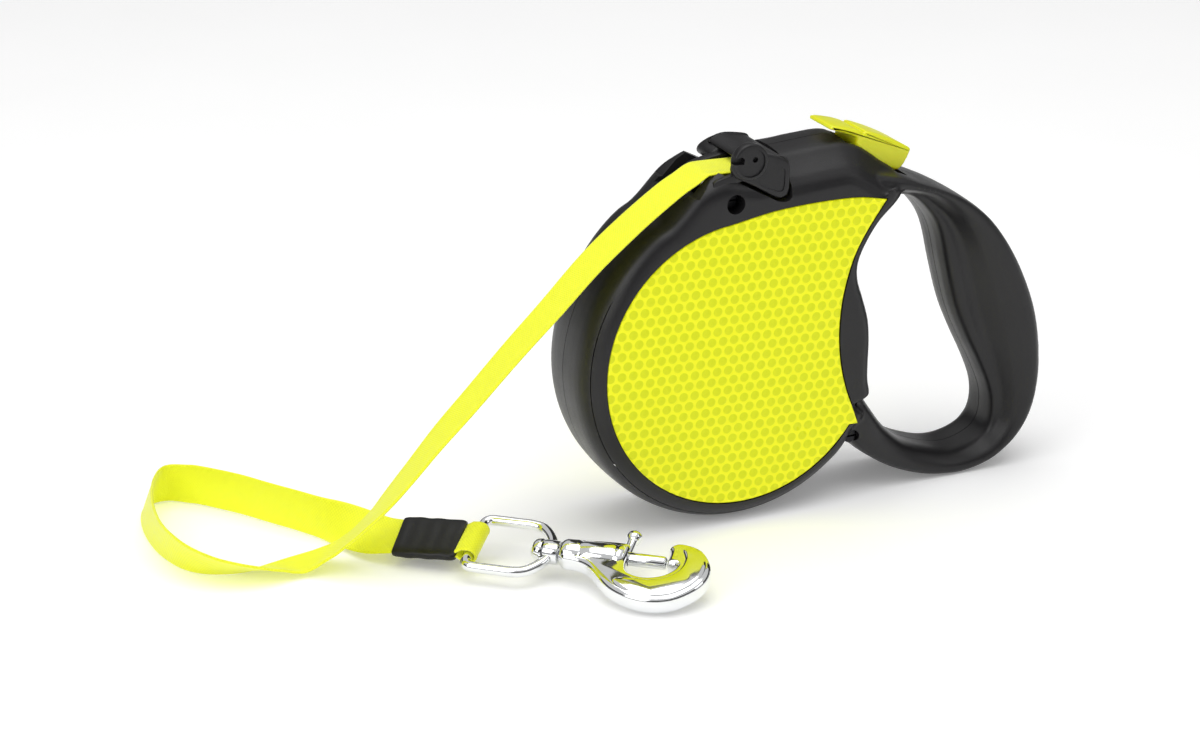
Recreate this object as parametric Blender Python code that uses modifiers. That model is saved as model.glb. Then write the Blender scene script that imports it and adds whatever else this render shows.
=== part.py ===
"""Retractable tape leash: a spool in a two-shell housing with a loop handle, a thumb brake and a snap hook.

Outlines are given in millimetres from the foot of the spool's axis: x towards the handle, z up from the floor.
The object stands on its rim and handle, with its origin at the middle of the housing's base.
"""

import math

import bmesh
import bpy
from mathutils import Matrix, Vector

MM = 0.001
GAP = 0.3  # clearance between neighbouring pieces

# Housing
SPOOL_X, SPOOL_Z = -31.0, 58.0  # the spool's axis
DISC_R = 58.0
HALF_DEPTH = 19.0
EDGE_ROUND = 4.0
WALL = 2.4
CAVITY_R = 55.0
CAVITY_HALF = 16.0
LABEL_R = 50.0
LABEL_RECESS = 1.0
LABEL_THICK = 0.5
NOSE_SCREW = (-4.0, 114.7)
REAR_SCREW = (43.9, 22.7)

# Tape
TAPE_WIDTH = 15.0
TAPE_THICK = 1.0

# Spool
AXLE_R = 4.0
BORE_R = AXLE_R + GAP
DRUM_R = 24.0
CUP_R = 22.5
FLANGE_R = 45.5
FLANGE_IN, FLANGE_OUT = 8.0, 9.2
ROLL_R = 41.0
TEETH = 24
TOOTH_DEPTH = 3.2
TOOTH_GAP = 7.0
TOOTH_Y = 10.6
SPOOL_Y = -6.0  # the spool sits nearer to one side
PAWL_ANGLE = 38.0  # where the pawl meets the toothed flange

# Brake
PIVOT = (27.0, 113.5)
PIN_R = 1.6
BRAKE_HALF = 4.6

# Outlet
CAP = (1.4, 127.9)
CAP_R = 6.7
ROLLER = (-9.2, 120.4)
ROLLER_R = 2.8
ROLLER_PIN_R = 1.0
INNER_BAR = (9.0, 120.2)
LIP_BAR = (1.0, 127.4)

# Snap hook: u runs from the eye's crossbar to the hook's tip, v across it, w out of its flat side
HOOK_AT = (-96.3, -15.0, 9.0)
HOOK_HEADING = (0.757, -0.653, 0.0)
HOOK_TILT = 15.0
WIRE_R = 1.8
SHANK_R = 5.2
STUD_R = 2.0
ROD_R = 2.25
ROD_V = 1.5
ROD_TIP, ROD_BACK = 65.4, 45.0
KNOB_U = 51.4

# Sleeve over the sewn end
SLEEVE_FROM = (-116.3, 2.6, 7.4)
SLEEVE_TO = (-99.9, -11.9, 9.0)
SLEEVE_TILT = 24.0
SLEEVE_WIDTH = 17.0
SLEEVE_THICK = 3.6

# The free tape's route: x, y, z of its centreline and the lean of its width from upright, in degrees
TAPE_ROUTE = [
    (2.6, -6.0, 123.9, 90),
    (-9.2, -6.0, 124.2, 90),
    (-12.4, -6.0, 123.7, 90),
    (-16.6, -6.3, 121.5, 90),
    (-23.5, -6.9, 118.0, 90),
    (-37.2, -8.3, 109.4, 90),
    (-52.1, -9.8, 98.5, 90),
    (-66.6, -10.6, 85.1, 90),
    (-80.8, -10.7, 71.8, 90),
    (-94.7, -10.2, 57.6, 90),
    (-106.5, -9.3, 45.4, 90),
    (-116.9, -7.6, 32.9, 90),
    (-125.2, -5.4, 22.8, 90),
    (-131.7, -2.4, 15.0, 90),
    (-137.7, 1.1, 8.6, 90),
    (-143.6, 4.5, 4.2, 90),
    (-149.4, 6.3, 2.1, 92),
    (-155.5, 6.2, 2.0, 99),
    (-162.2, 5.2, 3.1, 110),
    (-169.7, 5.5, 4.5, 123),
    (-176.9, 8.2, 5.7, 135),
    (-182.9, 13.4, 6.7, 149),
    (-186.8, 20.5, 7.4, 162),
    (-188.8, 29.1, 7.8, 171),
    (-189.1, 39.4, 7.9, 181),
    (-187.9, 51.0, 7.8, 190),
    (-185.6, 61.5, 7.6, 197),
    (-182.5, 70.0, 7.5, 200),
    (-178.5, 75.3, 7.5, 197),
    (-173.7, 76.3, 7.6, 190),
    (-168.2, 72.4, 7.8, 184),
    (-164.2, 68.8, 7.9, 182),
    (-154.6, 56.6, 8.0, 180),
    (-147.6, 45.6, 8.0, 180),
    (-140.7, 35.0, 8.0, 179),
    (-134.5, 25.3, 7.8, 174),
    (-129.0, 16.8, 7.5, 148),
    (-124.0, 9.6, 7.2, 133),
    (-120.2, 6.1, 7.05, 120),
    (-116.65, 2.95, 7.37, 114),
]


# Helpers

def clear_scene():
    for item in list(bpy.data.objects):
        bpy.data.objects.remove(item)


def collection(name):
    made = bpy.data.collections.new(name)
    bpy.context.scene.collection.children.link(made)
    return made


def material(name, color, roughness, metallic=0.0):
    made = bpy.data.materials.new(name)
    made.use_nodes = True
    shader = made.node_tree.nodes["Principled BSDF"]
    shader.inputs["Base Color"].default_value = (*color, 1.0)
    shader.inputs["Roughness"].default_value = roughness
    shader.inputs["Metallic"].default_value = metallic
    return made


def at(x, z, y=0.0):
    """A point given from the foot of the spool's axis, in metres in the object's frame."""
    return Vector(((x + SPOOL_X) * MM, y * MM, z * MM))


def arc(center, radius, start, end, count):
    """Points along an arc, in degrees, both ends included."""
    points = []
    for i in range(count + 1):
        angle = math.radians(start + (end - start) * i / count)
        points.append((center[0] + radius * math.cos(angle), center[1] + radius * math.sin(angle)))
    return points


def circle(center, radius, count=24):
    return arc(center, radius, 0, 360, count)[:-1]


def capsule(first, second, radius, count=8):
    """A slot-shaped outline round two centres."""
    lean = math.degrees(math.atan2(second[1] - first[1], second[0] - first[0]))
    near = arc(first, radius, lean + 90, lean + 270, count)
    far = arc(second, radius, lean - 90, lean + 90, count)
    return near + far


def place(obj, into, surface=None):
    into.objects.link(obj)
    if surface:
        obj.data.materials.append(surface)
    return obj


def as_mesh(curve_object):
    """The curve object's mesh, its caps welded, in an object of the same name."""
    bpy.context.scene.collection.objects.link(curve_object)
    graph = bpy.context.evaluated_depsgraph_get()
    mesh = bpy.data.meshes.new_from_object(curve_object.evaluated_get(graph))
    name, pose = curve_object.name, curve_object.matrix_world.copy()
    bpy.data.objects.remove(curve_object)
    work = bmesh.new()
    work.from_mesh(mesh)
    bmesh.ops.remove_doubles(work, verts=work.verts, dist=0.000002)
    bmesh.ops.recalc_face_normals(work, faces=work.faces)
    work.to_mesh(mesh)
    work.free()
    mesh.name = name
    made = bpy.data.objects.new(name, mesh)
    made.matrix_world = pose
    return made


def flat(name, outline, low, high, rounding=0.0):
    """A plate in its own plane: the outline in mm in X and Y, from low to high along Z."""
    curve = bpy.data.curves.new(name, "CURVE")
    curve.dimensions = "2D"
    curve.fill_mode = "BOTH"
    curve.extrude = ((high - low) / 2 - rounding) * MM
    curve.bevel_depth = rounding * MM
    curve.bevel_resolution = 1
    curve.offset = -rounding * MM
    spline = curve.splines.new("POLY")
    spline.points.add(len(outline) - 1)
    for point, (x, y) in zip(spline.points, outline):
        point.co = (x * MM, y * MM, 0.0, 1.0)
    spline.use_cyclic_u = True
    obj = bpy.data.objects.new(name, curve)
    obj.matrix_world = Matrix.Translation((0.0, 0.0, (low + high) / 2 * MM))
    obj = as_mesh(obj)
    obj.data.transform(obj.matrix_world)
    obj.matrix_world = Matrix.Identity(4)
    return obj


def plate(name, outline, low, high, rounding=0.0):
    """A plate upright in the object's frame, from y = low to y = high."""
    obj = flat(name, outline, -high, -low, rounding)
    stand = Matrix.Translation(at(0, 0)) @ Matrix.Rotation(math.radians(90), 4, "X")
    obj.data.transform(stand)
    return obj


def rod(name, center, radius, low, high, sides=24):
    """A cylinder along Y at (x, z) from the spool's foot."""
    return plate(name, circle(center, radius, sides), low, high)


def turned(name, profile, steps=48):
    """A piece turned about the Y line through its own origin, from (radius, y) points in mm round its section."""
    work = bmesh.new()
    verts = [work.verts.new((r * MM, 0.0, y * MM)) for r, y in profile]
    for i, vert in enumerate(verts):
        after = verts[(i + 1) % len(verts)]
        if vert.co.x > 0 or after.co.x > 0:
            work.edges.new((vert, after))
    mesh = bpy.data.meshes.new(name)
    work.to_mesh(mesh)
    work.free()
    obj = bpy.data.objects.new(name, mesh)
    screw = obj.modifiers.new("Turn", "SCREW")
    screw.steps = steps
    screw.render_steps = steps
    screw.use_merge_vertices = True
    screw.merge_threshold = 0.000001
    obj.rotation_euler = (math.radians(-90), 0.0, 0.0)
    return obj


def box(name, low, high):
    work = bmesh.new()
    bmesh.ops.create_cube(work, size=1.0)
    size = [(b - a) * MM for a, b in zip(low, high)]
    middle = Vector([(a + b) / 2 * MM for a, b in zip(low, high)])
    bmesh.ops.scale(work, vec=size, verts=work.verts)
    bmesh.ops.translate(work, vec=middle, verts=work.verts)
    mesh = bpy.data.meshes.new(name)
    work.to_mesh(mesh)
    work.free()
    return bpy.data.objects.new(name, mesh)


def tube(name, points, radius, cyclic=False, sides=2):
    """A round wire through points in metres."""
    curve = bpy.data.curves.new(name, "CURVE")
    curve.dimensions = "3D"
    curve.bevel_depth = radius * MM
    curve.bevel_resolution = sides
    curve.use_fill_caps = not cyclic
    spline = curve.splines.new("POLY")
    spline.points.add(len(points) - 1)
    for point, where in zip(spline.points, points):
        point.co = (*where, 1.0)
    spline.use_cyclic_u = cyclic
    return bpy.data.objects.new(name, curve)


def combine(obj, other, operation):
    """Adds a Boolean with a helper that stays out of the object."""
    other.hide_render = True
    other.display_type = "WIRE"
    if other.name not in CUTTERS.objects:
        CUTTERS.objects.link(other)
    modifier = obj.modifiers.new(f"{operation} {other.name}", "BOOLEAN")
    modifier.operation = operation
    modifier.object = other
    if obj.name.startswith("shell"):
        modifier.solver = "MANIFOLD"  # the exact solver leaves slivers on the grip's loft


def cut(obj, *others):
    for other in others:
        combine(obj, other, "DIFFERENCE")


def join(obj, *others):
    for other in others:
        combine(obj, other, "UNION")


# Housing

def body_outline():
    """The disc, the nose with its notch for the outlet, the crest, the brake's slope and the finger side."""
    disc = arc((0, SPOOL_Z), DISC_R, 113, 267, 26) + arc((0, SPOOL_Z), DISC_R, 273, 318, 8)
    finger = [(50.5, 38.5), (49.6, 44), (49.5, 51), (49.6, 58), (48.9, 66), (46.6, 74), (44.4, 81), (44.4, 87)]
    crown = [(47.0, 93.2), (51.5, 100), (57.0, 105.2), (62.0, 110), (61.5, 115), (55, 119.8), (48.5, 124.6)]
    crest = [(44, 126.8), (39, 128.0), (30, 127.6), (17, 126.6)]
    notch = [(16.7, 118), (16.5, 114), (11, 114), (-8, 124.6), (-11.5, 122.6), (-16.5, 117.4)]
    return disc + finger + crown + crest + notch


def cavity_outline():
    """The room inside the housing for the spool and the brake."""
    ring = arc((0, SPOOL_Z), CAVITY_R, 118, 300, 28)
    finger = [(36, 17.5), (41, 24), (44.5, 31), (46.8, 39), (47.2, 50), (47.2, 59), (46, 67.5)]
    waist = [(43.6, 75.5), (41.8, 82), (42, 88), (44, 93.5), (48.5, 101), (53, 105.5), (57, 108.8)]
    crown = [(57, 113), (51.5, 117.5), (44.5, 122.6), (39, 125.2), (30, 125.2), (18.9, 124.4), (18.7, 112)]
    nose = [(10.5, 111.4), (2, 113.5), (-8, 117), (-15, 115.4), (-20, 111.3)]
    return ring + finger + waist + crown + nose


# Stations round the handle: outer point, inner point, and half the depth at the palm
HANDLE = [
    ((50, 117.5), (49.5, 103.5), 17.0),
    ((62.5, 114.2), (58, 106), 17.0),
    ((70, 111), (63.5, 106.1), 16.8),
    ((77.5, 108), (69, 104.3), 16.8),
    ((86.5, 103.4), (74, 100), 17.0),
    ((96.5, 95.4), (78.5, 94), 17.4),
    ((105.1, 84.3), (81.3, 87), 17.6),
    ((111.9, 72.2), (84, 76), 17.6),
    ((117, 59.5), (88.3, 61), 17.4),
    ((119.6, 46), (93.5, 49), 17.2),
    ((120, 32), (99, 38), 16.8),
    ((117.5, 20), (103.3, 27.5), 16.2),
    ((112, 10.5), (104, 19), 15.4),
    ((103, 3.3), (101.5, 12.8), 14.6),
    ((93, 0.0), (95, 9.2), 14.0),
    ((84, 0.0), (87, 8.2), 14.0),
    ((74, 1.8), (78, 10.4), 14.2),
    ((63, 6), (68.5, 14.6), 14.8),
    ((54, 11.5), (60, 22), 15.8),
    ((48, 16.5), (53.3, 31), 16.6),
    ((42, 23), (47.5, 40), 16.8),
]
# Half of the handle's section: how far from the inner edge to the outer, and how deep, both from 0 to 1
GRIP = [(0.0, 0.0), (0.0, 0.44), (0.08, 0.52), (0.2, 0.56), (0.42, 0.82), (0.66, 1.0), (0.84, 0.97), (0.96, 0.68),
        (1.0, 0.36), (1.0, 0.0)]


def handle_half(name, side, inset):
    """Half of the loop handle as a loft round its stations, drawn in by inset."""
    work = bmesh.new()
    rings = []
    for outer, inner, depth in HANDLE:
        outer, inner = Vector(outer), Vector(inner)
        inward = (inner - outer).normalized() * inset
        outer, inner = outer + inward, inner - inward
        ring = []
        for along, deep in GRIP:
            x, z = inner.lerp(outer, along)
            y = max(deep * (depth - inset), GAP / 2) if inset == 0 else deep * (depth - inset)
            ring.append(work.verts.new(at(x, z, side * y)))
        rings.append(ring)
    for first, second in zip(rings, rings[1:]):
        for i in range(len(GRIP)):
            j = (i + 1) % len(GRIP)
            work.faces.new((first[i], first[j], second[j], second[i]))
    work.faces.new(rings[0])
    work.faces.new(rings[-1])
    bmesh.ops.triangulate(work, faces=work.faces)
    bmesh.ops.recalc_face_normals(work, faces=work.faces)
    mesh = bpy.data.meshes.new(name)
    work.to_mesh(mesh)
    work.free()
    return bpy.data.objects.new(name, mesh)


def label_outline(margin=0.0):
    """The label's sheet: a disc whose top runs level and whose handle side is hollowed."""
    ring = arc((0, SPOOL_Z), LABEL_R + margin, 96, 325, 34)
    m = margin
    hollow = [(44.3 + m, 29.2 - m), (42.2 + m, 35), (39.2 + m, 43), (37.0 + m, 52), (36.0 + m, 62), (36.4 + m, 72)]
    rise = [(38.0 + m, 81), (41.0 + m, 90.5), (45.6 + m, 99), (52.6 + 1.4 * m, 109 + m)]
    top = [(43, 110.9 + m), (33, 111.4 + m), (20, 111.1 + m), (8.5, 110.1 + m)]
    return ring + hollow + rise + top


def spread(side, near, far):
    """A span in y on one side of the middle plane, low end first."""
    return (near, far) if side > 0 else (-far, -near)


def screw_boss(name, center, radius, side):
    return rod(name, center, radius, *spread(side, GAP / 2, CAVITY_HALF + 0.5), 16)


def housing_shell(side, surface):
    """One of the two half shells; side is -1 for the near one and 1 for the far one."""
    word = "near" if side < 0 else "far"
    shell = plate(f"shell_{word}", body_outline(), *spread(side, GAP / 2, 2 * HALF_DEPTH - GAP / 2), EDGE_ROUND)
    shell = place(shell, PARTS, surface)
    cut(shell, box(f"outer_{word}", *slab(side, HALF_DEPTH, 60)))
    return shell


def slab(side, near, far):
    low, high = spread(side, near, far)
    return (-150, low, -20), (150, high, 160)


def add_housing_details(shell, side):
    word = "near" if side < 0 else "far"
    join(shell, handle_half(f"grip_{word}", side, 0.0))
    cut(shell, plate(f"cavity_{word}", cavity_outline(), *spread(side, -2, CAVITY_HALF)))
    cut(shell, handle_half(f"grip_room_{word}", side, WALL))
    cut(shell, plate(f"throat_{word}", throat_outline(), *spread(side, -2, 17.2 if side < 0 else 11.4)))
    cut(shell, plate(f"slot_{word}", slot_outline(), *spread(side, -2, 8.6)))
    recess = spread(side, HALF_DEPTH - LABEL_RECESS, HALF_DEPTH + 2)
    cut(shell, plate(f"recess_{word}", label_outline(GAP), *recess))
    for name, center, radius in (("nose", NOSE_SCREW, 3.9), ("rear", REAR_SCREW, 4.2)):
        join(shell, screw_boss(f"boss_{name}_{word}", center, radius, side))
        cut(shell, rod(f"bore_{name}_{word}", center, 1.7, *spread(side, -2, 13.0), 12))
    hub_end = FLANGE_OUT - SPOOL_Y + 0.4 if side < 0 else TOOTH_Y + SPOOL_Y + 0.4
    hub = turned(f"hub_{word}", [(7.5, 16.4), (7.5, hub_end), (BORE_R, hub_end), (BORE_R, 16.4)], 24)
    hub.location = at(0, SPOOL_Z)
    if side < 0:
        hub.rotation_euler = (math.radians(90), 0, 0)
    join(shell, hub)
    join(shell, rod(f"pivot_boss_{word}", PIVOT, 3.6, *spread(side, 10.9, CAVITY_HALF + 0.4), 16))
    cut(shell, rod(f"pivot_bore_{word}", PIVOT, PIN_R + GAP, *spread(side, 10, 15.9), 12))


def throat_outline():
    """The way out for the tape, from the spool's room to the mouth."""
    mouth = [(-19, 129), (-19, 116.2), (-12.8, 115.9), (-5, 116.2), (0.5, 117)]
    return mouth + [(4, 111), (20, 111), (20, 117), (16.1, 119.5), (16.1, 129)]


def slot_outline():
    """The pocket in the slope that the brake button sinks into."""
    return [(41.6, 133), (41.6, 121.5), (46, 117.2), (54, 112.4), (61, 109.8), (65.0, 109.8), (67, 115), (70, 128)]


def housing():
    shells = [housing_shell(side, BLACK) for side in (-1, 1)]
    for shell, side in zip(shells, (-1, 1)):
        add_housing_details(shell, side)
    for center, radius in ((NOSE_SCREW, 3.2), (REAR_SCREW, 2.8)):
        cut(shells[0], rod(f"sink_{radius}", center, radius, -20, -11.4, 16))
    hub_sink = rod("hub_sink", (0, SPOOL_Z), 3.6, -20, -16.6, 16)
    cut(shells[0], hub_sink, rod("hub_hole", (0, SPOOL_Z), 1.8, -19, -10, 12))


def labels():
    floor = HALF_DEPTH - LABEL_RECESS + GAP
    for side, word in ((-1, "near"), (1, "far")):
        sheet = plate(f"label_{word}", label_outline(), *spread(side, floor, floor + LABEL_THICK))
        place(sheet, PARTS, YELLOW)


def screw(name, center, head_r, head, tip):
    """A screw put in from the near side: its head's y and its tip's y."""
    made = rod(name, center, head_r, head, head + 2.2, 16)
    place(made, PARTS, STEEL)
    join(made, rod(f"{name}_shank", center, 1.35, head + 1, tip, 12))
    cut(made, box(f"{name}_slot", (center[0] + SPOOL_X - 4, head - 1, center[1] - 0.4),
                  (center[0] + SPOOL_X + 4, head + 0.8, center[1] + 0.4)))


def screws():
    screw("screw_nose", NOSE_SCREW, 2.7, -13.9, 12.4)
    screw("screw_rear", REAR_SCREW, 2.4, -13.9, 12.4)
    hub = rod("screw_hub", (0, SPOOL_Z), 3.2, -17.8, -16.9, 16)
    place(hub, PARTS, STEEL)
    join(hub, rod("screw_hub_shank", (0, SPOOL_Z), 1.45, -17.2, -6, 12))


# Outlet

def outlet_guide():
    """The insert in the nose: two winged ends, the lip over the tape and the cheeks that hold the roller."""
    near_wing = [(-7.2, 124.5), (11.1, 114.35), (16.1, 114.35), (16.3, 118), (15.9, 126.6), (8.6, 131.2)]
    near_wing += arc(CAP, CAP_R, 62, 200, 8)
    guide = plate("outlet_guide", near_wing, -18.2, -15.9)
    place(guide, PARTS, BLACK)
    far_wing = [(-7.2, 124.5), (11.1, 114.35), (16.1, 114.35), (16.3, 118), (15.9, 126.6), (8.6, 128.8), (1, 128.2)]
    join(guide, plate("wing_far", far_wing, 6.4, 18.2))
    join(guide, rod("cap", CAP, CAP_R, -18.6, -14.9, 24))
    for low, high, word in ((-16.9, -14.9, "near"), (2.9, 6.8, "far")):
        join(guide, plate(f"cheek_{word}", capsule(LIP_BAR, ROLLER, 2.9), low, high))
    join(guide, rod("lip_bar", LIP_BAR, 1.8, -16, 7, 16))
    join(guide, rod("inner_bar", INNER_BAR, 2.5, -16.5, 16.5, 16))
    hood = [(-4.5, 126.2), (1, 129.2), (5.9, 129.6), (15.7, 127.6), (15.7, 124.9), (8, 125.9), (2, 126.0)]
    join(guide, plate("hood", hood, -16.5, 16.5))
    cut(guide, rod("roller_bores", ROLLER, ROLLER_PIN_R + GAP, -17.4, 7.4, 16))


def roller():
    profile = [(ROLLER_R, 8.5), (ROLLER_R, -8.5), (ROLLER_PIN_R + GAP, -8.5), (ROLLER_PIN_R + GAP, 8.5)]
    made = turned("guide_roller", profile, 20)
    made.location = at(*ROLLER, SPOOL_Y)
    place(made, PARTS, STEEL)
    place(rod("roller_pin", ROLLER, ROLLER_PIN_R, SPOOL_Y - 10.8, SPOOL_Y + 12.4, 12), PARTS, STEEL)


# Spool

def spool():
    place(rod("spool_axle", (0, SPOOL_Z), AXLE_R, -15.6, 15.6, 24), PARTS, STEEL)
    cut(bpy.data.objects["spool_axle"], rod("axle_thread", (0, SPOOL_Z), 1.8, -17, -5.5, 12))
    profile = [(FLANGE_R, TOOTH_Y), (FLANGE_R, FLANGE_IN), (DRUM_R, FLANGE_IN), (DRUM_R, -FLANGE_IN),
               (FLANGE_R, -FLANGE_IN), (FLANGE_R, -FLANGE_OUT), (CUP_R, -FLANGE_OUT), (CUP_R, 5.0), (6.5, 5.0),
               (6.5, -8.8), (BORE_R, -8.8), (BORE_R, FLANGE_OUT), (37.0, FLANGE_OUT), (37.0, TOOTH_Y)]
    drum = turned("spool_drum", profile, 72)
    drum.location = at(0, SPOOL_Z, SPOOL_Y)
    place(drum, PARTS, GREY)
    cut(drum, tooth_gaps())
    cover = turned("spring_cover", [(CUP_R - GAP, -8.1), (CUP_R - GAP, -9.1), (6.9, -9.1), (6.9, -8.1)], 48)
    cover.location = at(0, SPOOL_Z, SPOOL_Y)
    place(cover, PARTS, GREY)
    roll = turned("tape_roll", [(ROLL_R, 7.5), (ROLL_R, -7.5), (DRUM_R + GAP, -7.5), (DRUM_R + GAP, 7.5)], 60)
    roll.location = at(0, SPOOL_Z, SPOOL_Y)
    place(roll, PARTS, YELLOW)


def tooth_gaps():
    """The gaps between the ratchet's teeth, as one cutter of separate bars."""
    work = bmesh.new()
    for i in range(TEETH):
        turn = Matrix.Rotation(math.radians(-(PAWL_ANGLE + 360 * i / TEETH)), 4, "Y")
        middle = Vector(((FLANGE_R - TOOTH_DEPTH + 5) * MM, 9.5 * MM, 0))
        size = Matrix.Diagonal((10 * MM, 4 * MM, TOOTH_GAP * MM, 1.0))
        bmesh.ops.create_cube(work, size=1.0, matrix=turn @ Matrix.Translation(middle) @ size)
    mesh = bpy.data.meshes.new("tooth_gaps")
    work.to_mesh(mesh)
    work.free()
    made = bpy.data.objects.new("tooth_gaps", mesh)
    made.location = at(0, SPOOL_Z, SPOOL_Y)
    return made


def mainspring():
    """The flat spiral spring in the drum."""
    turns, per_turn, inner, outer, half = 5, 18, 8.2, 21.2, 0.4
    count = turns * per_turn
    edges = []
    for offset in (-half, half):
        edge = []
        for i in range(count + 1):
            angle = 2 * math.pi * i / per_turn
            r = inner + (outer - inner) * i / count + offset
            edge.append((r * math.cos(angle), SPOOL_Z + r * math.sin(angle)))
        edges.append(edge)
    place(plate("mainspring", edges[1] + edges[0][::-1], SPOOL_Y - 7.6, SPOOL_Y + 4.4), PARTS, STEEL)


# Brake

def brake():
    """The lever under the crest, its pin, its return spring and the button on its end."""
    arm = [(24, 117), (30, 117), (33, 113.6), (52, 113.6), (52, 109.6), (30, 108.6), (24, 110)]
    lever = place(plate("brake_lever", arm, -BRAKE_HALF, BRAKE_HALF), PARTS, GREY)
    tip = Vector((math.cos(math.radians(PAWL_ANGLE)), math.sin(math.radians(PAWL_ANGLE)))) * (FLANGE_R + 1.1)
    tip = tip + Vector((1.55, SPOOL_Z + 0.55))
    pawl = [(32.6, 112), (40.4, 112), (tip.x + 2.9, tip.y + 1.6), (tip.x + 1.2, tip.y - 1.0),
            (tip.x - 1.2, tip.y + 0.9)]
    join(lever, plate("pawl", pawl, SPOOL_Y + 8.4, SPOOL_Y + 10.3))
    cut(lever, rod("lever_bore", PIVOT, PIN_R + GAP, -12, 12, 16))
    place(rod("brake_pin", PIVOT, PIN_R, -15.5, 15.5, 16), PARTS, STEEL)
    coil = []
    for i in range(49):
        angle = 2 * math.pi * i / 10
        coil.append(at(45.2 + 2 * math.cos(angle), 99.9 + 8.9 * i / 48, 2 * math.sin(angle)))
    place(tube("brake_spring", coil, 0.3, sides=0), PARTS, STEEL)


def button():
    """The thumb button: a ramp over the crest, a finger groove and a block in the slope's pocket."""
    ramp = [(36.0, 132.3), (37.6, 133.3), (43.5, 131.9), (48.4, 130.2), (49.2, 128.9), (50.2, 130.0)]
    block = [(58, 127.0), (67.4, 121.8), (66.6, 119.4), (63.0, 114.6), (56, 117.2), (46.3, 122.6), (45.9, 128.7)]
    made = place(plate("brake_button", ramp + block, -8.0, 8.0, 0.6), PARTS, YELLOW)
    join(made, plate("stem", [(46.8, 124), (46.8, 113.95), (51.6, 113.95), (51.6, 124)], -3.5, 3.5))


# Tape

def smooth_path(route, steps):
    """Points through the whole route, with this many steps between neighbours."""
    ends = [[2 * a - b for a, b in zip(route[0], route[1])], *route,
            [2 * a - b for a, b in zip(route[-1], route[-2])]]
    found = []
    for i in range(1, len(ends) - 2):
        for j in range(steps):
            t = j / steps
            point = []
            for a, b, c, d in zip(*ends[i - 1:i + 3]):
                pull = (c - a) * t + (2 * a - 5 * b + 4 * c - d) * t**2 + (3 * b - 3 * c + d - a) * t**3
                point.append(b + pull / 2)
            found.append(point)
    return found + [list(route[-1])]


def ribbon(name, points):
    """A flat tape along points in metres, each with the lean of its width from upright in degrees."""
    curve = bpy.data.curves.new(name, "CURVE")
    curve.dimensions = "3D"
    curve.twist_mode = "Z_UP"
    curve.extrude = (TAPE_WIDTH - TAPE_THICK) / 2 * MM
    curve.bevel_depth = TAPE_THICK / 2 * MM
    curve.bevel_resolution = 0
    curve.use_fill_caps = True
    spline = curve.splines.new("POLY")
    spline.points.add(len(points) - 1)
    for point, (where, lean) in zip(spline.points, points):
        point.co = (*where, 1.0)
        point.tilt = math.radians(lean)
    return bpy.data.objects.new(name, curve)


def free_tape():
    path = smooth_path(TAPE_ROUTE, 3)
    points = [(at(x, z, y), lean) for x, y, z, lean in path]
    place(ribbon("tape_free", points), PARTS, YELLOW)


def tape_lead():
    """The tape inside the nose, from the roll over the inner bar."""
    path = [(36.4, 79.0), (30.2, 89.8), (24.1, 100.4), (18.1, 111.0), (12.3, 121.6), (11.2, 123.0), (9.2, 123.75),
            (6.2, 123.9), (2.95, 123.9)]
    place(ribbon("tape_lead", [(at(x, z, SPOOL_Y), 90) for x, z in path]), PARTS, YELLOW)


def leaning_frame(origin, heading, tilt):
    """A frame whose first axis is the heading and whose second leans up by tilt from the level."""
    first = Vector(heading).normalized()
    level = Vector((0, 0, 1)).cross(first).normalized()
    up = first.cross(level)
    second = level * math.cos(math.radians(tilt)) + up * math.sin(math.radians(tilt))
    third = first.cross(second)
    pose = Matrix((first, second, third)).transposed().to_4x4()
    pose.translation = at(origin[0], origin[2], origin[1])
    return pose


def sleeve():
    heading = Vector(SLEEVE_TO) - Vector(SLEEVE_FROM)
    pose = leaning_frame(SLEEVE_FROM, heading, SLEEVE_TILT)
    length = heading.length
    half, thick = SLEEVE_WIDTH / 2, SLEEVE_THICK / 2
    made = box("tape_sleeve", (0, -half, -thick), (length, half, thick))
    place(made, PARTS, RUBBER)
    bevel = made.modifiers.new("Round", "BEVEL")
    bevel.width = 0.7 * MM
    bevel.segments = 2
    made.matrix_world = pose


def hook_frame():
    return leaning_frame(HOOK_AT, HOOK_HEADING, HOOK_TILT)


def hook_tool(obj):
    obj.matrix_world = hook_frame()
    return obj


def hook_piece(obj, surface):
    return place(hook_tool(obj), PARTS, surface)


def off_centre(obj):
    """Moves a turned piece from the shank's axis to the bolt's."""
    shift = Matrix.Translation(hook_frame().to_3x3() @ Vector((0, ROD_V * MM, 0)))
    obj.matrix_world = shift @ obj.matrix_world
    return obj


def turned_u(name, profile, steps=20):
    """A piece turned about u, from (radius, u) points."""
    made = turned(name, profile, steps)
    swing = Matrix.Rotation(math.radians(90), 4, "Y")
    made.matrix_world = hook_frame() @ swing
    return made


def tape_loop():
    """The sewn loop round the eye's crossbar, drawn in (u, w) and as wide as the tape."""
    bend = WIRE_R + GAP
    outer = [(-4.4, -1.35), (-2.2, -2.9)] + arc((0, 0), bend + TAPE_THICK, -80, 80, 8) + [(-2.2, 2.9), (-4.4, 1.35)]
    inner = [(-4.4, 0.35), (-2.0, 1.9)] + arc((0, 0), bend, 80, -80, 8) + [(-2.0, -1.9), (-4.4, -0.35)]
    made = flat("tape_loop", outer + inner, -TAPE_WIDTH / 2, TAPE_WIDTH / 2)
    made.data.transform(Matrix.Rotation(math.radians(90), 4, "X"))
    hook_piece(made, YELLOW)


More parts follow.
